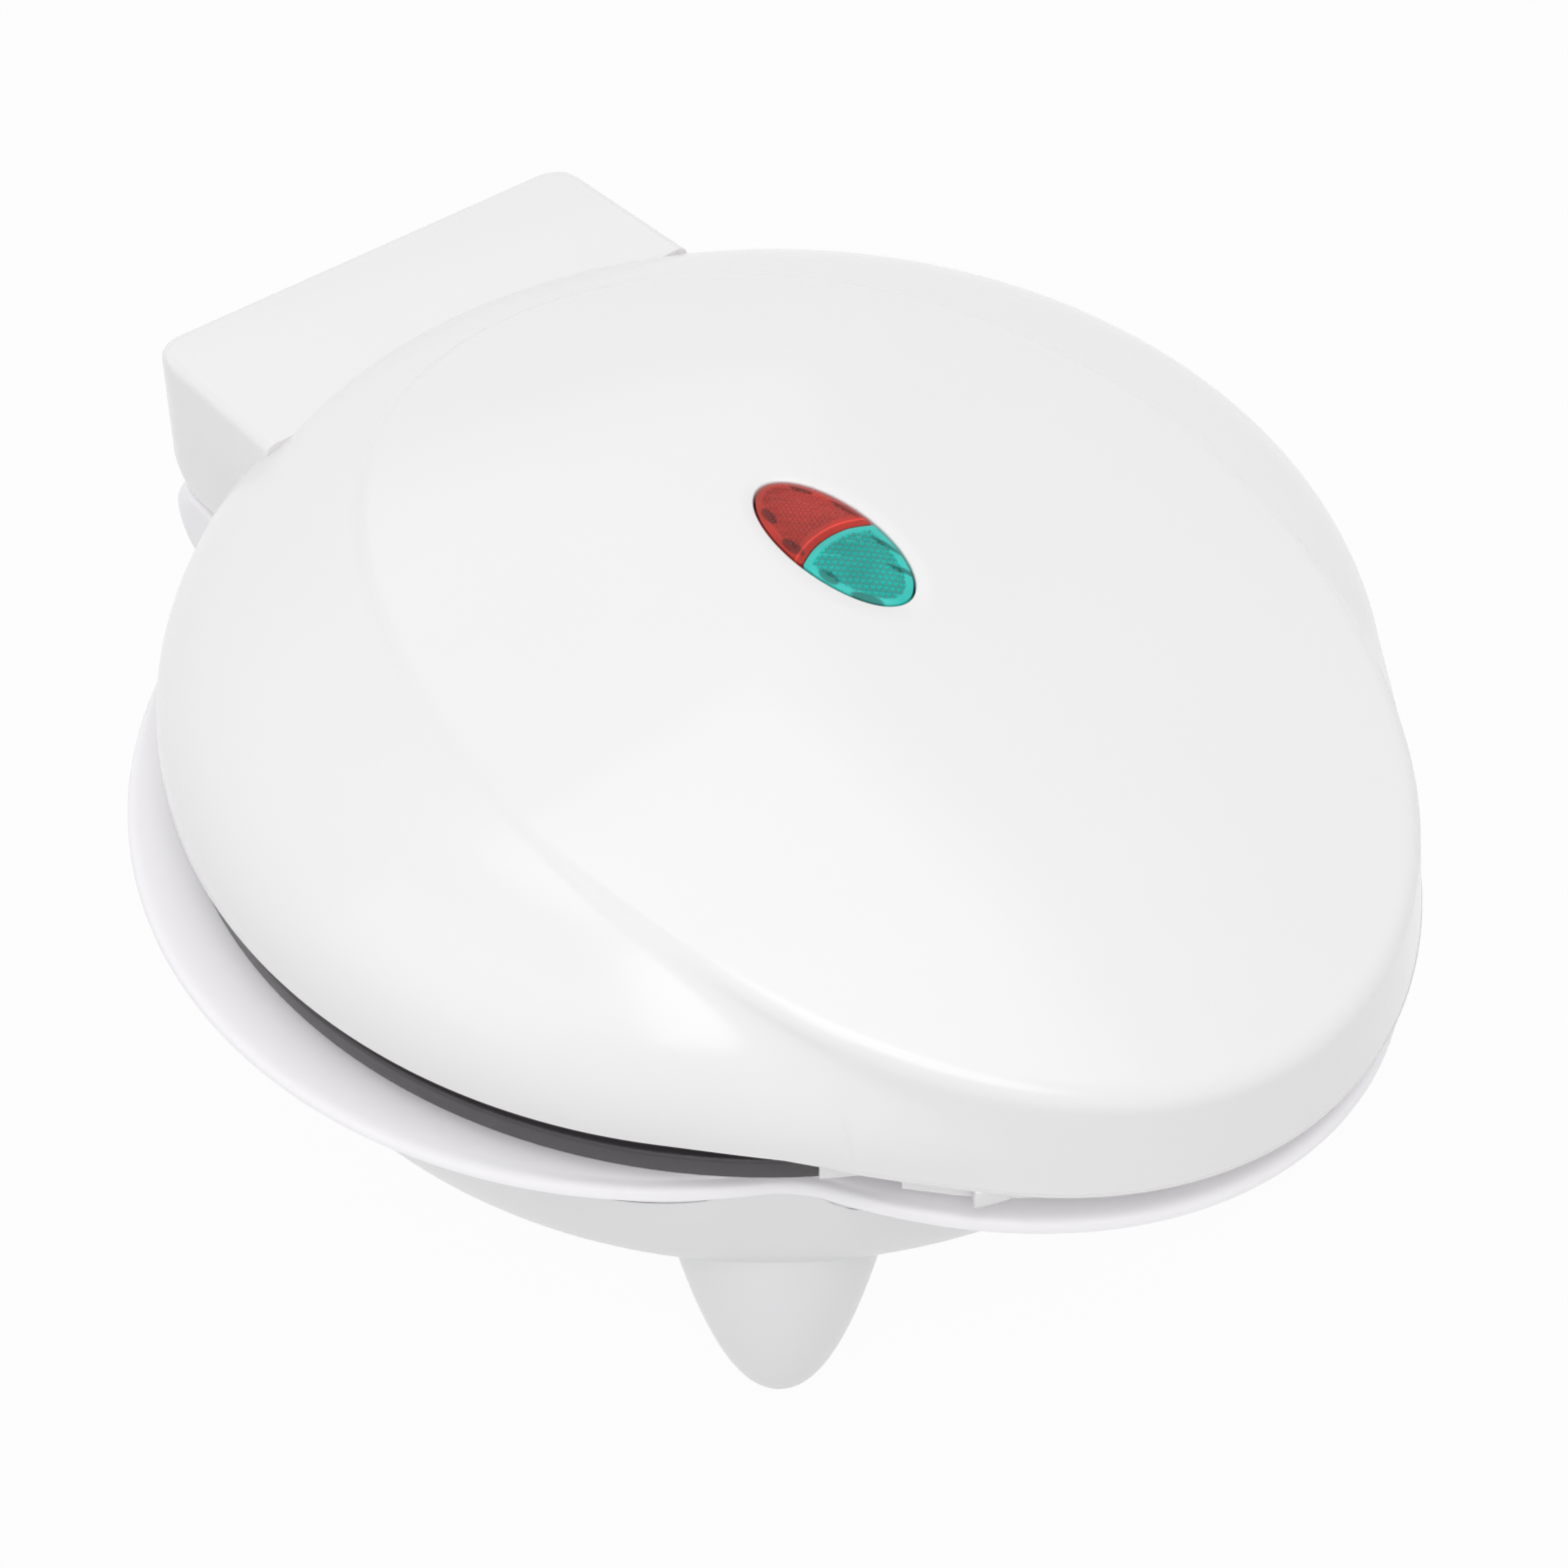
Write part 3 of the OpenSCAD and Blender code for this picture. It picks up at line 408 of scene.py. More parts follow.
def makeFinish(name):
    look = finishes[name]
    material = bpy.data.materials.new(name)
    material.use_nodes = True
    nodes, links = material.node_tree.nodes, material.node_tree.links
    shader = nodes["Principled BSDF"]
    shader.inputs["Metallic"].default_value = look.get("metallic", 0)
    shader.inputs["Specular IOR Level"].default_value = look.get("specular", 0.5)
    shader.inputs["Coat Weight"].default_value = look.get("coat", 0)
    shader.inputs["Coat Roughness"].default_value = look.get("coatRoughness", 0.03)
    varied = nodes.new("ShaderNodeGroup")
    varied.node_tree = variation
    varied.inputs["Color"].default_value = (*look["colour"], 1)
    for socket, key in (("Mottle", "mottle"), ("Patch Scale", "patch"), ("Roughness", "roughness"),
                        ("Spread", "spread"), ("Grain Scale", "grain")):
        varied.inputs[socket].default_value = look[key]
    bump = nodes.new("ShaderNodeBump")
    bump.inputs["Distance"].default_value = look["bump"]
    links.new(varied.outputs["Height"], bump.inputs["Height"])
    links.new(varied.outputs["Color"], shader.inputs["Base Color"])
    # Lenses scale their colour by a mesh attribute of painted shade and painted highlights.
    if look.get("usesPaintedShading"):
        paintedShading = nodes.new("ShaderNodeAttribute")
        paintedShading.attribute_name = "paintedShading"
        scaled = nodes.new("ShaderNodeVectorMath")
        scaled.operation = "SCALE"
        links.new(varied.outputs["Color"], scaled.inputs[0])
        links.new(paintedShading.outputs["Fac"], scaled.inputs["Scale"])
        links.new(scaled.outputs[0], shader.inputs["Base Color"])
    links.new(varied.outputs["Roughness"], shader.inputs["Roughness"])
    links.new(bump.outputs["Normal"], shader.inputs["Normal"])
    return material


paint = {name: makeFinish(name) for name in finishes}
print("finishes made")

# Lid shell: dome, raised panel and handle in one moulding, with the hole for the lenses
lidShape = {
    "rim": 112.0, "band": 0.5, "rise": 35.3, "power": 3.25, "wall": 2.4,
    "topHalf": (75.3, 103.3), "topMiddle": -23.2, "topLevel": 30.0,
    "footHalf": (87.4, 113.2), "footMiddle": -20.0, "footLevel": -7.0,
    "crown": 37.0, "crownBack": 8.0, "crownLong": 370.0, "crownSide": 535.0,
    "skirtDrop": 7.0, "skirtRoot": -87.0, "skirtEnd": -133.3,
    "edgeFront": 2.2, "edgeBack": 1.2, "filletLow": 9.0, "filletHigh": 1.4,
    "holeHalf": (8.55, 18.45), "holeMiddle": -16.4, "eyeLevel": -12.0, "lipRadius": 0.6,
    "sinkReach": 12.0, "sinkShare": 0.5, "wallScale": 0.95, "crownInset": 6.0, "holeInset": 0.35,
}


def crownLevel(x, y):
    s = lidShape
    return s["crown"] - (y - s["crownBack"]) ** 2 / (2 * s["crownLong"]) - x * x / (2 * s["crownSide"])


def ovalAt(z):
    s = lidShape
    t = (s["topLevel"] - z) / (s["topLevel"] - s["footLevel"])
    half = [top + t * (foot - top) for top, foot in zip(s["topHalf"], s["footHalf"])]
    return half[0], half[1], s["topMiddle"] + t * (s["footMiddle"] - s["topMiddle"])


def ovalGap(x, y, a, b, middle):
    # Distance to an oval, close to true near its line.
    u, v = x / a, (y - middle) / b
    level = np.maximum(np.hypot(u, v), 1e-6)
    return (level - 1) * level / np.maximum(np.hypot(u / a, v / b), 1e-9)


def lidGap(p):
    s = lidShape
    x, y, z = p[..., 0], p[..., 1], p[..., 2]
    r = np.hypot(x, y)
    lift = np.maximum(z - s["band"], 0)
    slope = np.hypot(s["power"] * (r / s["rim"]) ** (s["power"] - 1) / s["rim"], 2 * lift / s["rise"] ** 2)
    dome = ((r / s["rim"]) ** s["power"] + (lift / s["rise"]) ** 2 - 1) / (slope + 1e-4)
    wall = ovalGap(x, y, *ovalAt(z)) * s["wallScale"]
    top = (z - crownLevel(x, y)) / np.sqrt(
        1 + ((y - s["crownBack"]) / s["crownLong"]) ** 2 + (x / s["crownSide"]) ** 2)
    edge = s["edgeFront"] + (s["edgeBack"] - s["edgeFront"]) * ramp(-95, 10, y)
    panel = roundMeet(top, wall, edge)
    # The dome sinks away inside the panel, so that it never shows through the crown.
    sunk = dome + s["sinkShare"] * np.clip(-wall, 0, s["sinkReach"])
    fillet = s["filletLow"] + (s["filletHigh"] - s["filletLow"]) * ramp(2, 24, z)
    return roundJoin(sunk, panel, fillet)


def reachLid(turns, rises, level):
    # Where rays from a point under the lens hole leave the lid, by halving.
    s = lidShape
    eye = np.array((0, s["holeMiddle"], s["eyeLevel"]))
    ways = np.stack((np.cos(rises) * np.cos(turns), np.cos(rises) * np.sin(turns), np.sin(rises)), -1)
    near, far = np.full(rises.shape, 18.0), np.full(rises.shape, 175.0)
    for step in range(36):
        middle = (near + far) / 2
        inside = lidGap(eye + ways * middle[..., None]) < level
        near, far = np.where(inside, middle, near), np.where(inside, far, middle)
    return eye + ways * near[..., None]


def skirtLevel(y):
    s = lidShape
    return -s["skirtDrop"] * np.maximum(0, s["skirtRoot"] - y) / (s["skirtRoot"] - s["skirtEnd"])


def ovalReach(turns, z):
    # Reach from the hole's middle to the panel's oval at a height, from the quadratic of the ray.
    a, b, middle = ovalAt(z)
    c, d, off = np.cos(turns) / a, np.sin(turns) / b, (lidShape["holeMiddle"] - middle) / b
    square, cross, rest = c * c + d * d, d * off, off * off - 1
    return (-cross + np.sqrt(cross * cross - square * rest)) / square


def domeReach(turns, z):
    s = lidShape
    radius = s["rim"] * (1 - (np.maximum(z - s["band"], 0) / s["rise"]) ** 2) ** (1 / s["power"])
    off = s["holeMiddle"] * np.sin(turns)
    return -off + np.sqrt(off * off - s["holeMiddle"] ** 2 + radius ** 2)


def lidTable(turns):
    s = lidShape
    angles = np.arange(turns) * turn / turns
    middle, eye = s["holeMiddle"], s["eyeLevel"]

    def rise(reach, z):
        return np.arctan2(z - eye, reach)

    def crownRise(reach):
        return rise(reach, crownLevel(reach * np.cos(angles), middle + reach * np.sin(angles)))

    hole = 1 / np.hypot(np.cos(angles) / s["holeHalf"][0], np.sin(angles) / s["holeHalf"][1])
    # Heights of the crown's edge and of the panel's foot on the dome, by repeated approach.
    edgeReach = np.full(turns, 80.0)
    for step in range(20):
        edgeLevel = crownLevel(edgeReach * np.cos(angles), middle + edgeReach * np.sin(angles))
        edgeReach = ovalReach(angles, edgeLevel)
    low, high = np.full(turns, 1.0), edgeLevel
    for step in range(30):
        z = (low + high) / 2
        out = ovalReach(angles, z) > domeReach(angles, z)
        low, high = np.where(out, low, z), np.where(out, z, high)
    footRise = rise(ovalReach(angles, high), high)
    edgeRise = rise(edgeReach, edgeLevel)

    def bottomRise(level):
        reach = np.full(turns, 112.0)
        for step in range(12):
            rises = rise(reach, skirtLevel(middle + reach * np.sin(angles)))
            points = reachLid(angles, rises, level)
            reach = np.hypot(points[:, 0], points[:, 1] - middle)
        return rises

    bottom = bottomRise(0)
    innerBottom = bottomRise(-s["wall"])
    footRise = np.maximum(footRise, bottom + 0.12 * (edgeRise - bottom))
    footRise = np.minimum(footRise, edgeRise - 0.008)
    inset = s["crownInset"]
    beforeEdge = crownRise(edgeReach - inset)
    afterFoot = footRise - np.minimum(0.07, 0.35 * (footRise - bottom))

    def span(a, b, count, power=1.0):
        return [a + (b - a) * ((i + 1) / count) ** power for i in range(count)]

    brink = s["holeInset"]
    reaches = [hole + brink + (edgeReach - inset - hole - brink) * (i / 22) for i in range(23)]
    rises = [crownRise(reach) for reach in reaches]
    rises += span(beforeEdge, edgeRise, 10) + span(edgeRise, footRise, 14) + span(footRise, afterFoot, 12)
    rises += span(afterFoot, bottom, 32, 0.9)
    outer = reachLid(np.broadcast_to(angles, (len(rises), turns)), np.array(rises), 0)

    ring = np.stack((np.cos(angles), np.sin(angles)), -1)
    lip = []
    for reach, drop in ((0, brink), (0.1, 0.1)):
        plan = ring * (hole + reach)[:, None] + (0, middle)
        lip.append(np.column_stack((plan, crownLevel(plan[:, 0], plan[:, 1]) - drop)))

    # Rounded lower edge, then up the inside.
    end = outer[-1]
    step = 0.05
    normal = np.stack([lidGap(end + shift) - lidGap(end - shift) for shift in np.eye(3) * step], -1)
    normal[:, 2] = 0
    normal /= np.linalg.norm(normal, axis=1)[:, None]
    rounding = []
    radius = s["lipRadius"]
    outer[-1] = end + (0, 0, radius)
    outer[-2] = outer[-1] * 0.55 + outer[-3] * 0.45
    for quarter in (30, 60, 90):
        t = math.radians(quarter)
        rounding.append(end - normal * radius * (1 - math.cos(t)) + (0, 0, radius * (1 - math.sin(t))))
    innerRises = span(innerBottom + 0.004, footRise, 12) + span(footRise, edgeRise, 4)
    innerRises += [crownRise(edgeReach - 5 - (edgeReach - 5 - hole) * (i / 12)) for i in range(12)]
    innerRises.insert(0, innerBottom + 0.004)
    inner = reachLid(np.broadcast_to(angles, (len(innerRises), turns)), np.array(innerRises), -s["wall"])
    heel = reachLid(angles, innerBottom, -s["wall"])
    plan = ring * hole[:, None] + (0, middle)
    last = np.column_stack((plan, crownLevel(plan[:, 0], plan[:, 1]) - s["wall"]))
    return np.array([*lip, *outer, *rounding, heel, *inner, last])


lidShell = shapedGrid(lidTable(360), closed=True)
lidPiece = addPiece(lidShell, "lidShell", "lid", paint["glossWhite"], ["lid_shell"], sharp=50)
print("lid shell:", len(lidPiece.data.polygons), "faces")

# Hinge housings: the lid's leans and hooks round the hinge line, the base's has a round back
hingeShape = {
    "half": 51.5, "planRadius": 7.0, "edgeRadius": 2.2, "front": 86.0,
    "top": 22.0, "topRadius": 3.2, "axis": (128.6, -8.0), "heelRadius": 7.6, "lean": 12.5,
    "blockTop": -16.5, "blockAxis": (131.0, -27.3), "blockRadius": 10.8, "wall": 2.4,
    "earSpread": 38.0, "earWidth": 8.0, "earRadius": 6.0, "slotWidth": 9.2, "slotTop": 0.8,
    "cheekWidth": 4.6, "cheekGap": 0.4, "cheekNeck": 4.2, "flatLength": 20.0, "openBelow": 5.0,
    "brinkRadius": 1.2, "leastRadius": 0.8, "leastEdge": 0.3, "slotStart": -0.1, "cheekSunk": 0.5,
    "domeRoom": ((0, -40), (111.5, -40), (111.5, 0.6), (109, 10), (96, 18), (60, 20), (0, 20)),
}


def arc(centre, radius, start, end, count):
    angles = [math.radians(start + (end - start) * i / (count - 1)) for i in range(count)]
    return [(centre[0] + radius * math.cos(a), centre[1] + radius * math.sin(a)) for a in angles]


def lidHousingSide(back, edge, inset=0):
    # Side outline; back moves its rear forward, edge shrinks its top, inset leaves room for the wall.
    s = hingeShape
    lean = math.radians(s["lean"])
    centre = (s["axis"][0] - back, s["axis"][1])
    heel = s["heelRadius"] - inset - edge
    top = s["top"] - inset - edge
    radius = max(s["topRadius"] - inset, s["leastRadius"])
    foot = (centre[0] + heel * math.cos(lean), centre[1] + heel * math.sin(lean))
    rear = foot[0] - (top - radius - foot[1]) * math.tan(lean) - radius / math.cos(lean)
    low = s["axis"][1] - s["heelRadius"] + edge - (s["openBelow"] if inset else 0)
    flat = s["front"] + s["flatLength"]
    points = [(s["front"], low), (flat, low)]
    if inset:
        points += [(centre[0], low), (centre[0], centre[1] - heel)] + arc(centre, heel, -80, s["lean"], 16)
    else:
        points += arc(centre, heel, -90, s["lean"], 18)
    points += arc((rear, top - radius), radius, s["lean"], 90, 12)
    return points + [(flat, top), (s["front"], top)]


def blockSide(back, edge, inset=0):
    s = hingeShape
    centre = (s["blockAxis"][0] - back, s["blockAxis"][1])
    radius = s["blockRadius"] - inset - edge
    low = centre[1] - radius
    top = s["blockTop"] - inset - edge
    flat = s["front"] + s["flatLength"]
    brink = s["brinkRadius"]
    points = [(s["front"], low), (flat, low)] + arc(centre, radius, -90, 62, 26)
    points += arc((centre[0] + radius * 0.30, top - brink + edge * 0.3), brink, 62, 90, 5)
    return points + [(flat, top), (s["front"], top)]


def housing(side, half, inset=0):
    # A side outline swept across the width, drawn in at both ends by the two roundings.
    s = hingeShape
    planRadius, edgeRadius = s["planRadius"] - inset, max(s["edgeRadius"] - inset, s["leastEdge"])
    depths = [edgeRadius * (1 - math.cos(math.radians(a))) for a in range(0, 91, 15)]
    depths += [planRadius * (1 - math.cos(math.radians(a))) for a in range(48, 91, 7)]
    depths = sorted(set(round(d, 4) for d in depths))

    def drawnIn(radius, depth):
        return radius - math.sqrt(max(radius ** 2 - max(radius - depth, 0) ** 2, 0))

    slices = []
    for depth in depths:
        outline = side(drawnIn(planRadius, depth), drawnIn(edgeRadius, depth), inset)
        slices.append((depth - half, outline))
    slices += [(-x, outline) for x, outline in reversed(slices)]
    table = np.array([[(x, y, z) for y, z in outline] for x, outline in slices])
    return shapedGrid(table, fillEnds=True)


def ear(x, width, base, neck=None):
    # Round end about the hinge line on a straight neck down or up to base; a given neck is narrower.
    y, z = hingeShape["axis"]
    radius = hingeShape["earRadius"]
    if neck is None:
        outline = arc((y, z), radius, 180, 0, 24)
        neck = 2 * radius
    else:
        outline = arc((y, z), radius, 180, 360 + math.degrees(math.acos(neck / radius - 1)), 30)
    outline += [(y - radius + neck, base), (y - radius, base)]
    table = np.array([[(x + dx, a, b) for a, b in outline] for dx in (-width / 2, width / 2)])
    return shapedGrid(table, fillEnds=True)


def buildHinge():
    s = hingeShape
    hollow = housing(lidHousingSide, s["half"] - s["wall"], s["wall"])
    shell = carved(housing(lidHousingSide, s["half"]), hollow)
    # Slots at the back let the base's ears in, and the dome's room stays free.
    slots = [box((side * s["earSpread"] - s["slotWidth"] / 2, s["axis"][0] + s["slotStart"], -30),
                 (side * s["earSpread"] + s["slotWidth"] / 2, 160, s["slotTop"])) for side in (-1, 1)]
    shell = carved(shell, added(*slots))
    shell = carved(shell, turned(s["domeRoom"], 96))
    # Two cheeks hold each ear of the base between them, and run up into the shell's top wall.
    reach = s["earWidth"] / 2 + s["cheekGap"] + s["cheekWidth"] / 2
    inTop = s["top"] - s["wall"] + s["cheekSunk"]
    places = [side * s["earSpread"] + face * reach for side in (-1, 1) for face in (-1, 1)]
    cheeks = [bevelSharp(ear(x, s["cheekWidth"], inTop, s["cheekNeck"]), 0.3, 2) for x in places]
    return added(shell, *cheeks)


hingePiece = addPiece(buildHinge(), "lidHingeHousing", "lid", paint["glossWhite"],
                      ["lid_shell"])
print("lid hinge housing:", len(hingePiece.data.polygons), "faces")

# Lugs that close the ends of the handle's liner, beside the plates' edge
lugShape = {
    "reach": (110.95, 111.9), "turns": (-127.3, -119.0), "levels": (-7.6, 0.2),
    "tabReach": (119.6, 121.2), "tabTurns": (-116.3, -113.4), "tabLevels": (-7.4, -3.0),
}


def curvedWall(reach, turns, levels, steps=14):
    section = ((reach[0], levels[0]), (reach[1], levels[0]), (reach[1], levels[1]), (reach[0], levels[1]))
    table = []
    for i in range(steps + 1):
        a = math.radians(turns[0] + (turns[1] - turns[0]) * i / steps)
        table.append([(r * math.cos(a), r * math.sin(a), z) for r, z in section])
    return bevelSharp(shapedGrid(np.array(table), fillEnds=True), 0.3, 2, limit=60)


def buildLugs():
    s = lugShape
    walls = [curvedWall(s["reach"], s["turns"], s["levels"]),
             curvedWall(s["tabReach"], s["tabTurns"], s["tabLevels"], 6)]
    lugs = added(*walls)
    bmesh.ops.mirror(lugs, geom=lugs.verts[:] + lugs.edges[:] + lugs.faces[:], axis="X", merge_dist=0)
    bmesh.ops.recalc_face_normals(lugs, faces=lugs.faces[:])
    return lugs


addPiece(buildLugs(), "handleLugs", "lid", paint["glossWhite"])
print("lugs made")

# Lenses: two halves of an oval that meet along an arc, with rows of small pyramids
lensShape = {
    "half": (8.1, 18.0), "middle": -16.4, "splitRadius": 16.0, "splitGap": 0.12, "depth": 3.0,
    "rimDrop": 0.25, "rimWidth": 0.9, "plainBand": {True: 2.2, False: 1.2}, "swell": 0.25,
    "row": {True: 0.85, False: 1.24}, "column": {True: 0.85, False: 1.1}, "pyramid": {True: 0.16, False: 0.3},
    # Painted light on the lenses: painted shade on low pyramid sides and in spots, painted highlights on
    # crests and one ridge.
    "shadeDepth": {True: 0.35, False: 0.5}, "paintedCrestHighlight": {True: 0.15, False: 0.3},
    "crestLift": 1.9, "shadeFrom": 0.1, "shadeLean": 0.6, "shadeSpotDepth": 0.62,
    "ridgeLine": 1.35, "paintedRidgeHighlight": 0.9, "cutReach": 26, "cutsPerPyramid": 6,
}
# Painted shade in dark spots where the holder behind shows through: place, half length, half width and lean
# in degrees.
shadeSpots = {
    True: [((-4.6, -5.0), 2.2, 0.9, 80), ((-6.5, -13.4), 2.6, 1.0, 92), ((4.2, -3.4), 2.2, 0.55, -66),
           ((6.9, -12.0), 3.2, 0.6, -78)],
    False: [((-6.5, -22.5), 2.2, 1.0, 95), ((-4.7, -30.2), 3.0, 0.85, -64), ((6.3, -23.0), 3.2, 0.5, -80),
            ((4.6, -29.5), 3.4, 0.55, -66)],
}


def lensGaps(x, y, back):
    # Distance inside the outline, and inside the line where the two lenses meet.
    s = lensShape
    rim = -ovalGap(x, y, s["half"][0], s["half"][1], s["middle"])
    centre = 1 + s["middle"] - s["splitRadius"]
    split = np.hypot(x, y - centre) - s["splitRadius"]
    return rim, (split if back else -split) - s["splitGap"]


def lensOutline(back, count):
    # The outline is walked from the lens's own middle, by halving.
    s = lensShape
    home = np.array((0, s["middle"] + (9.0 if back else -8.0)))
    angles = np.arange(count) * turn / count
    ways = np.stack((np.cos(angles), np.sin(angles)), -1)
    near, far = np.zeros(count), np.full(count, 30.0)
    for step in range(40):
        middle = (near + far) / 2
        points = home + ways * middle[:, None]
        rim, split = lensGaps(points[:, 0], points[:, 1], back)
        inside = np.minimum(rim, split) > 0
        near, far = np.where(inside, middle, near), np.where(inside, far, middle)
    return home + ways * near[:, None]


def pyramidPlace(x, y, back):
    # Share of the way along a pyramid and across from its middle line, and where pyramids cover the lens.
    s = lensShape
    rim, split = lensGaps(x, y, back)
    along = (x + y - s["middle"]) / math.sqrt(2) / s["row"][back]
    across = (x - y + s["middle"]) / math.sqrt(2) / s["column"][back] + np.floor(along) % 2 / 2
    band = s["plainBand"][back]
    field = ramp(s["rimWidth"] + 0.3, s["rimWidth"] + 0.7, rim) * ramp(band, band + 0.5, split)
    return along % 1, np.abs(across % 1 * 2 - 1), field


def lensTop(x, y, back):
    s = lensShape
    rim, split = lensGaps(x, y, back)
    fallen = 1 - ramp(0, s["rimWidth"], np.minimum(rim, split))
    level = crownLevel(x, y) - s["rimDrop"] * fallen + s["swell"] * ramp(0.6, 5, rim)
    along, across, field = pyramidPlace(x, y, back)
    crest = 1 - np.maximum(np.abs(along * 2 - 1), across)
    return level + s["pyramid"][back] * field * (crest * s["crestLift"] - 1)


def lensPaintedShading(x, y, back):
    # Share of the lens's colour: painted shade on low pyramid sides and spots, painted highlights on crests
    # and one ridge.
    s = lensShape
    along, across, field = pyramidPlace(x, y, back)
    # Painted shade on the low sides of the pyramids.
    low = ramp(-0.1, 0.1, s["shadeLean"] * (1 - across) + s["shadeFrom"] - along)
    # Painted highlight on the pyramids' crests.
    crest = ramp(0.4, 0.8, along) * (1 - across)
    paintedShading = 1 + field * (s["paintedCrestHighlight"][back] * crest - s["shadeDepth"][back] * low)
    # Painted shade in the spots darkens the colour.
    for place, length, width, lean in shadeSpots[back]:
        cos, sin = math.cos(math.radians(lean)), math.sin(math.radians(lean))
        dx, dy = x - place[0], y - place[1]
        far = np.hypot((dx * cos + dy * sin) / length, (dy * cos - dx * sin) / width)
        paintedShading *= 1 - s["shadeSpotDepth"] * ramp(1.15, 0.85, far)
    # Painted highlight: a pale line near the split, where a ridge catches the light.
    if back:
        split = lensGaps(x, y, back)[1]
        paintedShading += s["paintedRidgeHighlight"] * ramp(0.25, 0.1, np.abs(split - s["ridgeLine"]))
    return paintedShading


def buildLens(back):
    s = lensShape
    bm = bmesh.new()
    # This layer holds the painted shade and painted highlights that scale the lens's colour.
    paintedShading = bm.verts.layers.float.new("paintedShading")
    bm.faces.new([bm.verts.new((*point, 0)) for point in lensOutline(back, 160)])
    # Fine squares turned to lie along the rows of pyramids.
    for direction, pitch in (((1, 1, 0), s["row"][back]), ((1, -1, 0), s["column"][back])):
        normal = Vector(direction).normalized()
        step = pitch / s["cutsPerPyramid"]
        count = int(s["cutReach"] / step)
        for i in range(-count, count + 1):
            sliced(bm, Vector((0, s["middle"], 0)) + normal * i * step, normal)
    bmesh.ops.remove_doubles(bm, verts=bm.verts[:], dist=0.01)
    border = [e for e in bm.edges if e.is_boundary]
    skirt = bmesh.ops.extrude_edge_only(bm, edges=border)["geom"]
    low = {g for g in skirt if isinstance(g, bmesh.types.BMVert)}
    for vert in bm.verts:
        x, y = vert.co.x, vert.co.y
        vert[paintedShading] = float(lensPaintedShading(x, y, back))
        vert.co.z = float(crownLevel(x, y)) - s["depth"] if vert in low else float(lensTop(x, y, back))
    fillHoles(bm)
    bmesh.ops.recalc_face_normals(bm, faces=bm.faces[:])
    return bm


for back, name, slotName in ((True, "redLens", "red_lens"), (False, "greenLens", "green_lens")):
    node = "lens_red" if back else "lens_green"
    lensPiece = addPiece(buildLens(back), name, "lid", paint[name], [node], sharp=20)
    print(name + ":", len(lensPiece.data.polygons), "faces")

# Cast plates: seven ring troughs in a flat face, the same metal standing out below
plateShape = {
    "pitch": 69.0, "ring": 21.0, "tube": 11.0, "cast": 2.0, "web": 3.0, "edge": 1.0, "flangeWidth": 6.0,
    "bossPitch": 87.0, "bossRadius": 4.5, "bossDrop": 18.6, "postRadius": 3.8, "postDrop": 13.2,
    "rim": 0.7, "rootSunk": 2.5, "flangeEdge": 0.4,
    "lower": {"radius": 110.7, "flange": 4.8, "face": -4.1},
    "upper": {"radius": 109.2, "flange": 3.0, "face": -3.6},
}


def ringSection(tube, face, edge):
    # From the inner rim of a trough round its bottom to the outer rim; edge is the width of a rounded rim.
    ring = plateShape["ring"]
    half = math.sqrt(tube * tube - face * face)
    start = math.degrees(math.atan2(face, half)) - math.degrees(edge / tube)
    rim = ((1, 0), (0.45, 0.12), (0.1, 0.5)) if edge else ((0, 0),)
    count = 18
    steps = range(count + 1) if edge else range(1, count)
    points = [(ring - half - edge * out, face - edge * down) for out, down in rim]
    for i in steps:
        a = math.radians(180 - start + (180 + 2 * start) * i / count)
        points.append((ring + tube * math.cos(a), tube * math.sin(a)))
    return points + [(ring + half + edge * out, face - edge * down) for out, down in rim[::-1]]


def ringedFace(face, tube, rimRadius, edge, turns):
    # A flat face with seven ring troughs; the face is filled between their rims.
    s = plateShape
    centres = [(0, 0)] + [onCircle(s["pitch"], degrees)[:2] for degrees in range(0, 360, 60)]
    section = ringSection(tube, face, edge)
    whole = bmesh.new()
    for x, y in centres:
        added(whole, moved(turned(section, turns, closed=False), (x, y, 0)))
    outline = bmesh.ops.create_circle(whole, segments=turns * 2, radius=rimRadius, cap_ends=False)["verts"]
    for vert in outline:
        vert.co.z = face
    # A hub is filled by its own loop, and the rest of the face between the rims and the outline.
    hubs, rims = [], [e for e in whole.edges if e.is_wire]
    for item in whole.edges:
        if item.is_boundary:
            middle = (item.verts[0].co + item.verts[1].co) / 2
            nearest = min(math.hypot(middle.x - x, middle.y - y) for x, y in centres)
            (hubs if abs(nearest - section[0][0]) < 1 else rims).append(item)
    bmesh.ops.edgeloop_fill(whole, edges=hubs)
    bmesh.ops.triangle_fill(whole, use_beauty=True, use_dissolve=False, edges=rims, normal=axisUp)
    return whole


def buildPlate(radius, flange):
    s = plateShape
    rim, edge, turns = s["rim"], s["flangeEdge"], 96
    inner = radius - s["flangeWidth"]
    top = ringedFace(0, s["tube"], radius - rim, s["edge"], turns)
    under = ringedFace(-s["web"], s["tube"] + s["cast"], inner, 0, turns)
    section = [(radius - rim, 0)] + arc((radius - rim, -rim), rim, 60, 0, 3)
    section += [(radius, -flange + edge), (radius - edge, -flange), (inner, -flange), (inner, -s["web"])]
    whole = added(top, under, turned(section, turns * 2, closed=False))
    bmesh.ops.remove_doubles(whole, verts=whole.verts[:], dist=0.02)
    bmesh.ops.recalc_face_normals(whole, faces=whole.faces[:])
    bosses = [cylinder(onCircle(s["bossPitch"], degrees, -s["bossDrop"]), s["bossRadius"],
                       s["bossDrop"] - s["rootSunk"]) for degrees in (30, 150, 270)]
    bosses.append(cylinder((0, 0, -s["postDrop"]), s["postRadius"], s["postDrop"] - s["rootSunk"]))
    return added(whole, *bosses)


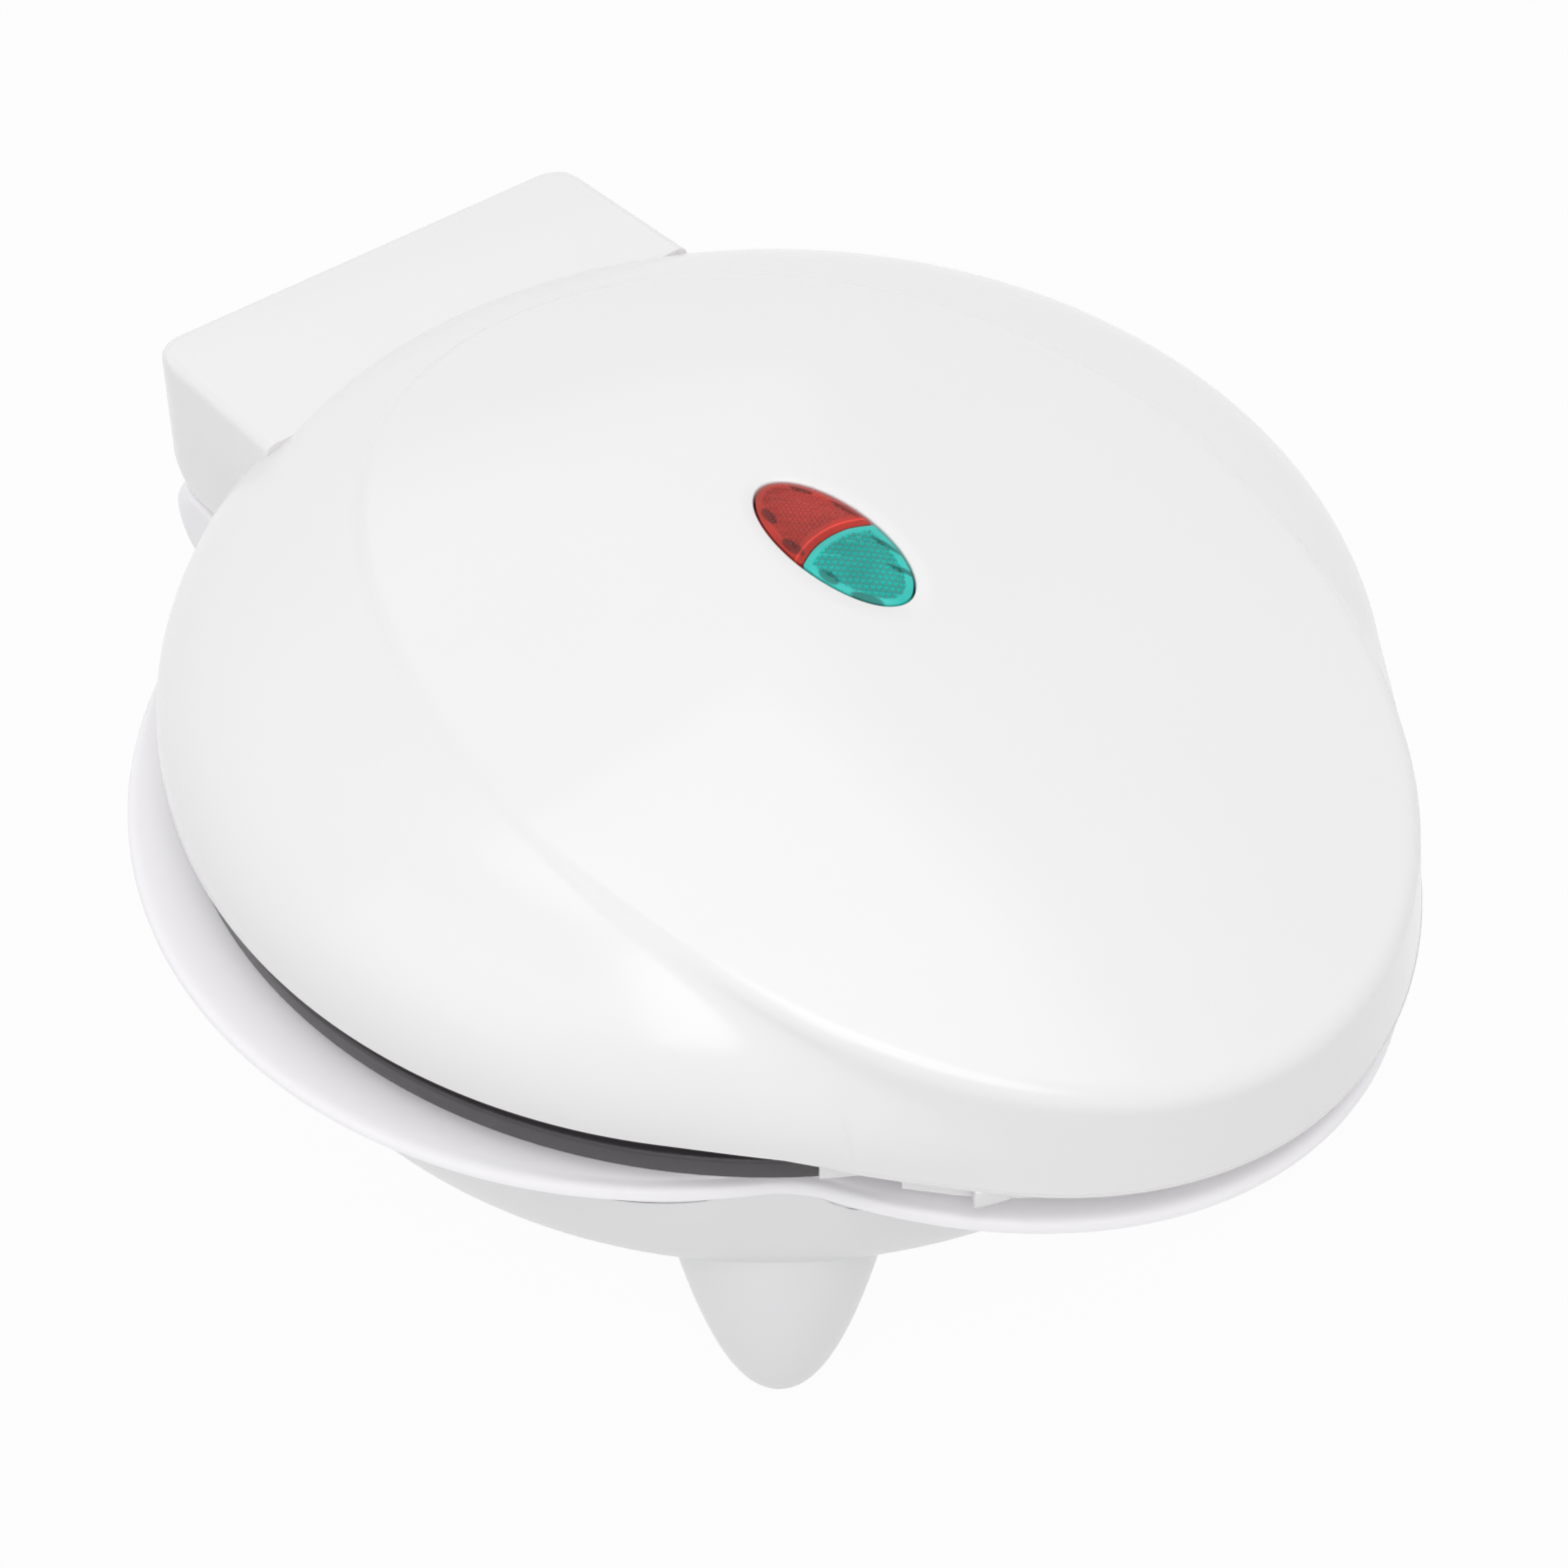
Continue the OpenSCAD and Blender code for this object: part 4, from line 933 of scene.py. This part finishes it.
lower, upper = plateShape["lower"], plateShape["upper"]
lowerPlate = moved(buildPlate(lower["radius"], lower["flange"]), (0, 0, lower["face"]))
addPiece(lowerPlate, "lowerPlate", "base", paint["nonStick"], ["lower_plate"], sharp=40)
upperPlate = rotated(buildPlate(upper["radius"], upper["flange"]), math.pi, "Y")
moved(upperPlate, (0, 0, upper["face"]))
addPiece(upperPlate, "upperPlate", "lid", paint["nonStick"], ["upper_plate"], sharp=40)
print("plates cast")

# Tray of the base: round sides, a lip under the handle, a slope down to the plate's seat
trayShape = {
    "radius": 103.0, "shift": 17.5, "middle": 5.4, "level": -13.7,
    "lipHalf": (81.0, 106.3), "lipMiddle": -27.0, "cornerFillet": 3.0, "rimWidth": 2.6, "rimDepth": 2.2,
    "seat": 105.4, "seatWall": 2.4, "plateUnder": -8.9, "ledgeWidth": 21.0, "ledgeThick": 3.0, "bossGap": 0.8,
    "inside": -12.7, "fall": 1.6, "underInset": 0.3, "underFoot": -24.5, "underHollow": 1.5,
    "notchGap": 1.0, "notchWall": 1.5, "plateRoom": 104.5, "bushRadius": 7.7, "bushBack": 139.8,
    "postRadius": 4.5, "postFoot": -42.8,
}
screwCircle = {"radius": 88, "turns": (0, 75, 105, 180, 255, 285), "hole": 2.0}


def trayOutline(angles):
    s = trayShape
    near, far = np.full(angles.shape, 60.0), np.full(angles.shape, 160.0)
    for step in range(36):
        reach = (near + far) / 2
        x, y = reach * np.cos(angles), reach * np.sin(angles)
        sides = np.hypot(np.maximum(np.abs(x) - s["shift"], 0), y - s["middle"]) - s["radius"]
        lip = ovalGap(x, y, *s["lipHalf"], s["lipMiddle"])
        inside = roundJoin(sides, lip, s["cornerFillet"]) < 0
        near, far = np.where(inside, reach, near), np.where(inside, far, reach)
    return near


def trayUnder(edge, reach):
    # Level of the tray's underside at a reach, straight down to the foot of its slope.
    s = trayShape
    t = np.maximum(reach - s["seat"], 0) / (edge - s["underInset"] - s["seat"])
    low, high = s["underFoot"], s["level"] - s["rimDepth"]
    return low + (high - low) * t ** s["underHollow"]


def trayTable(turns):
    s = trayShape
    angles = np.arange(turns) * turn / turns
    edge = trayOutline(angles)
    ring = np.stack((np.cos(angles), np.sin(angles)), -1)
    foot, under = s["seat"] + 0.2, edge - s["underInset"]
    rows = []

    def row(reach, level):
        plan = ring * np.broadcast_to(reach, (turns,))[:, None]
        rows.append(np.column_stack((plan, np.broadcast_to(level, (turns,)))))

    # A nearly flat shelf from the plate's seat, which falls away to a round rim.
    inner = edge - s["rimWidth"]
    for i in range(17):
        t = i / 16
        row(foot + (inner - foot) * t, s["inside"] + (s["level"] - s["inside"]) * t ** s["fall"])
    rounding = ((2.1, 0.07), (1.6, 0.18), (1.1, 0.36), (0.7, 0.6), (0.35, 0.94), (0.1, 1.4), (0, 1.85))
    for inset, drop in rounding:
        row(edge - inset, s["level"] - drop)
    for i in range(13):
        reach = under - (under - foot) * i / 12
        row(reach, trayUnder(edge, reach))
    return np.array(rows)


def buildTray():
    s = trayShape
    h = hingeShape
    # The hinge block takes the tray's place at the back.
    dish = shapedGrid(trayTable(360), closed=True)
    for half, low in ((h["half"] + s["notchGap"], h["blockTop"]), (h["half"] - s["notchWall"], -60)):
        dish = carved(dish, box((-half, 60, low), (half, 200, 40)))
    wallTop, seatIn = s["plateUnder"], s["seat"] - s["seatWall"]
    ledge = plateShape["lower"]["face"] - plateShape["bossDrop"] - s["bossGap"]
    under, ledgeIn = ledge - s["ledgeThick"], seatIn - s["ledgeWidth"]
    seat = turned([(seatIn, wallTop), (s["seat"] - 0.4, wallTop), (s["seat"], wallTop - 0.4),
                   (s["seat"], under), (ledgeIn, under), (ledgeIn, ledge), (seatIn, ledge)], 180)
    block = carved(housing(blockSide, h["half"]), housing(blockSide, h["half"] - h["wall"], h["wall"]))
    room = s["plateRoom"]
    block = carved(block, turned([(0, -60), (room, -60), (room, 40), (0, 40)], 128))
    bush = rotated(cylinder((0, 0, 0), s["bushRadius"], 20), math.radians(-90), "X")
    block = carved(block, moved(bush, (0, s["bushBack"], h["blockAxis"][1])))
    ears = [bevelSharp(ear(side * h["earSpread"], h["earWidth"], h["blockTop"] - 1), 0.4, 2)
            for side in (-1, 1)]
    posts = [cylinder(onCircle(screwCircle["radius"], degrees, s["postFoot"]), s["postRadius"],
                      under - s["postFoot"]) for degrees in screwCircle["turns"]]
    return added(dish, seat, block, *ears, *posts)


# The tray's finish carries a painted lift of the shade under the lid.
trayPiece = addPiece(buildTray(), "baseTray", "base", paint["satinWhitePaintedLift"], ["base_tray"])
print("tray:", len(trayPiece.data.polygons), "faces")

# Bowl with four leaning feet
bowlShape = {
    "flat": 96.8, "bulge": 13.4, "power": 0.57, "shoulder": -20.5, "depth": 24.7, "wall": 2.4, "top": -15.4,
    "rimEdge": 0.5, "trayGap": 0.2, "trayLap": 0.4, "cutFoot": -50, "cutHeight": 8,
    "footTurn": 40.5, "footLean": 26.1, "footRadius": 22.4, "footTop": -41.0, "footPower": 2.2,
    "footTip": -83.5, "footOver": 1.12, "footSunk": 2.0, "pitch": 84.6,
    "vents": 8, "ventStart": 36.0, "ventEnd": 60.0, "ventHalf": 1.5,
}


def bowlProfile(inset):
    s = bowlShape
    points = []
    for degrees in range(0, 91, 5):
        a = math.radians(degrees)
        points.append((s["flat"] + (s["bulge"] - inset) * max(0, math.cos(a)) ** s["power"],
                       s["shoulder"] - (s["depth"] - inset) * math.sin(a)))
    return points


def buildFoot(direction):
    # Turned round its own line past tip and top, leaned, and cut level at both.
    s = bowlShape
    lean = math.radians(s["footLean"])
    length = (s["footTop"] - s["footTip"]) / math.cos(lean)
    steps = [(i / 34) ** 1.6 * s["footOver"] for i in range(35)]
    profile = [(s["footRadius"] * t ** (1 / s["footPower"]), length * (t - 1)) for t in steps]
    profile.append((0, profile[-1][1]))
    bm = moved(rotated(turned(profile, 96, closed=False), -lean, "Y"), (s["pitch"], 0, s["footTop"]))
    sliced(bm, (0, 0, s["footTop"] + s["footSunk"]), (0, 0, 1), clearOuter=True)
    sliced(bm, (0, 0, s["footTip"]), (0, 0, -1), clearOuter=True)
    fillHoles(bm)
    rotated(bm, math.radians(direction), "Z")
    bmesh.ops.recalc_face_normals(bm, faces=bm.faces[:])
    return bm


def buildBowl():
    s = bowlShape
    outside, inside = bowlProfile(0), bowlProfile(s["wall"])
    rim = s["flat"] + s["bulge"]
    edge = s["rimEdge"]
    profile = [(rim - edge, s["top"]), (rim - 0.1, s["top"] - 0.15), (rim, s["top"] - edge)] + outside
    profile += [(0, s["shoulder"] - s["depth"]), (0, s["shoulder"] - s["depth"] + s["wall"])]
    profile += inside[::-1] + [(rim - s["wall"], s["top"])]
    bowl = turned(profile, 240)
    # The bowl's rim lies close under the tray's slope.
    for vert in bowl.verts:
        reach = math.hypot(vert.co.x, vert.co.y)
        if reach > trayShape["seat"]:
            trayEdge = trayOutline(np.array([math.atan2(vert.co.y, vert.co.x)]))
            vert.co.z = min(vert.co.z, float(trayUnder(trayEdge, reach)[0]) - s["trayGap"])
            within = min(1, float(trayEdge[0] - s["trayLap"]) / reach)
            vert.co.x *= within
            vert.co.y *= within
    bmesh.ops.remove_doubles(bowl, verts=bowl.verts[:], dist=0.04)
    feet = added(*[buildFoot(back - 90 + side * s["footTurn"]) for side in (-1, 1) for back in (0, 180)])
    bowl = carved(bowl, feet, "UNION")
    foot, half = s["cutFoot"], s["ventHalf"]
    cuts = [rotated(box((s["ventStart"], -half, foot), (s["ventEnd"], half, foot + s["cutHeight"])),
                    (i + 0.5) * turn / s["vents"], "Z") for i in range(s["vents"])]
    cuts += [cylinder(onCircle(screwCircle["radius"], degrees, foot), screwCircle["hole"], s["cutHeight"], 24)
             for degrees in screwCircle["turns"]]
    return carved(bowl, added(*cuts))


bowlPiece = addPiece(buildBowl(), "baseBowl", "base", paint["bowlWhite"], ["base_bowl"])
print("bowl:", len(bowlPiece.data.polygons), "faces")

# Nodes whose solids stay take their finish here
nodeFinish = {
    "glossWhite": ("lid_frame", "lamp_carrier"),
    "screwSteel": ("lid_screws", "upper_clamp_screw", "upper_plate_screws", "lamp_carrier_screws",
                   "hinge_pins", "bottom_screws", "lower_clamp_screw", "lower_plate_screws",
                   "terminal_screws"),
    "heaterTube": ("upper_heater", "lower_heater"),
    "tinnedSheet": ("upper_heater_clamp", "upper_heat_shield", "lower_heater_clamp", "lower_heat_shield"),
    "ceramic": ("upper_thermostat", "lower_thermostat", "thermal_fuse", "terminal_block"),
    "redGlow": ("red_lamp",),
    "greenGlow": ("green_lamp",),
    "greyRubber": ("foot_pads",),
    "leadCopper": ("heater_leads",),
    "paleRubber": ("cord_bush",),
}
for finish, names in nodeFinish.items():
    for name in names:
        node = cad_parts[name]
        node.data.materials.clear()
        node.data.materials.append(paint[finish])
print("nodes painted")
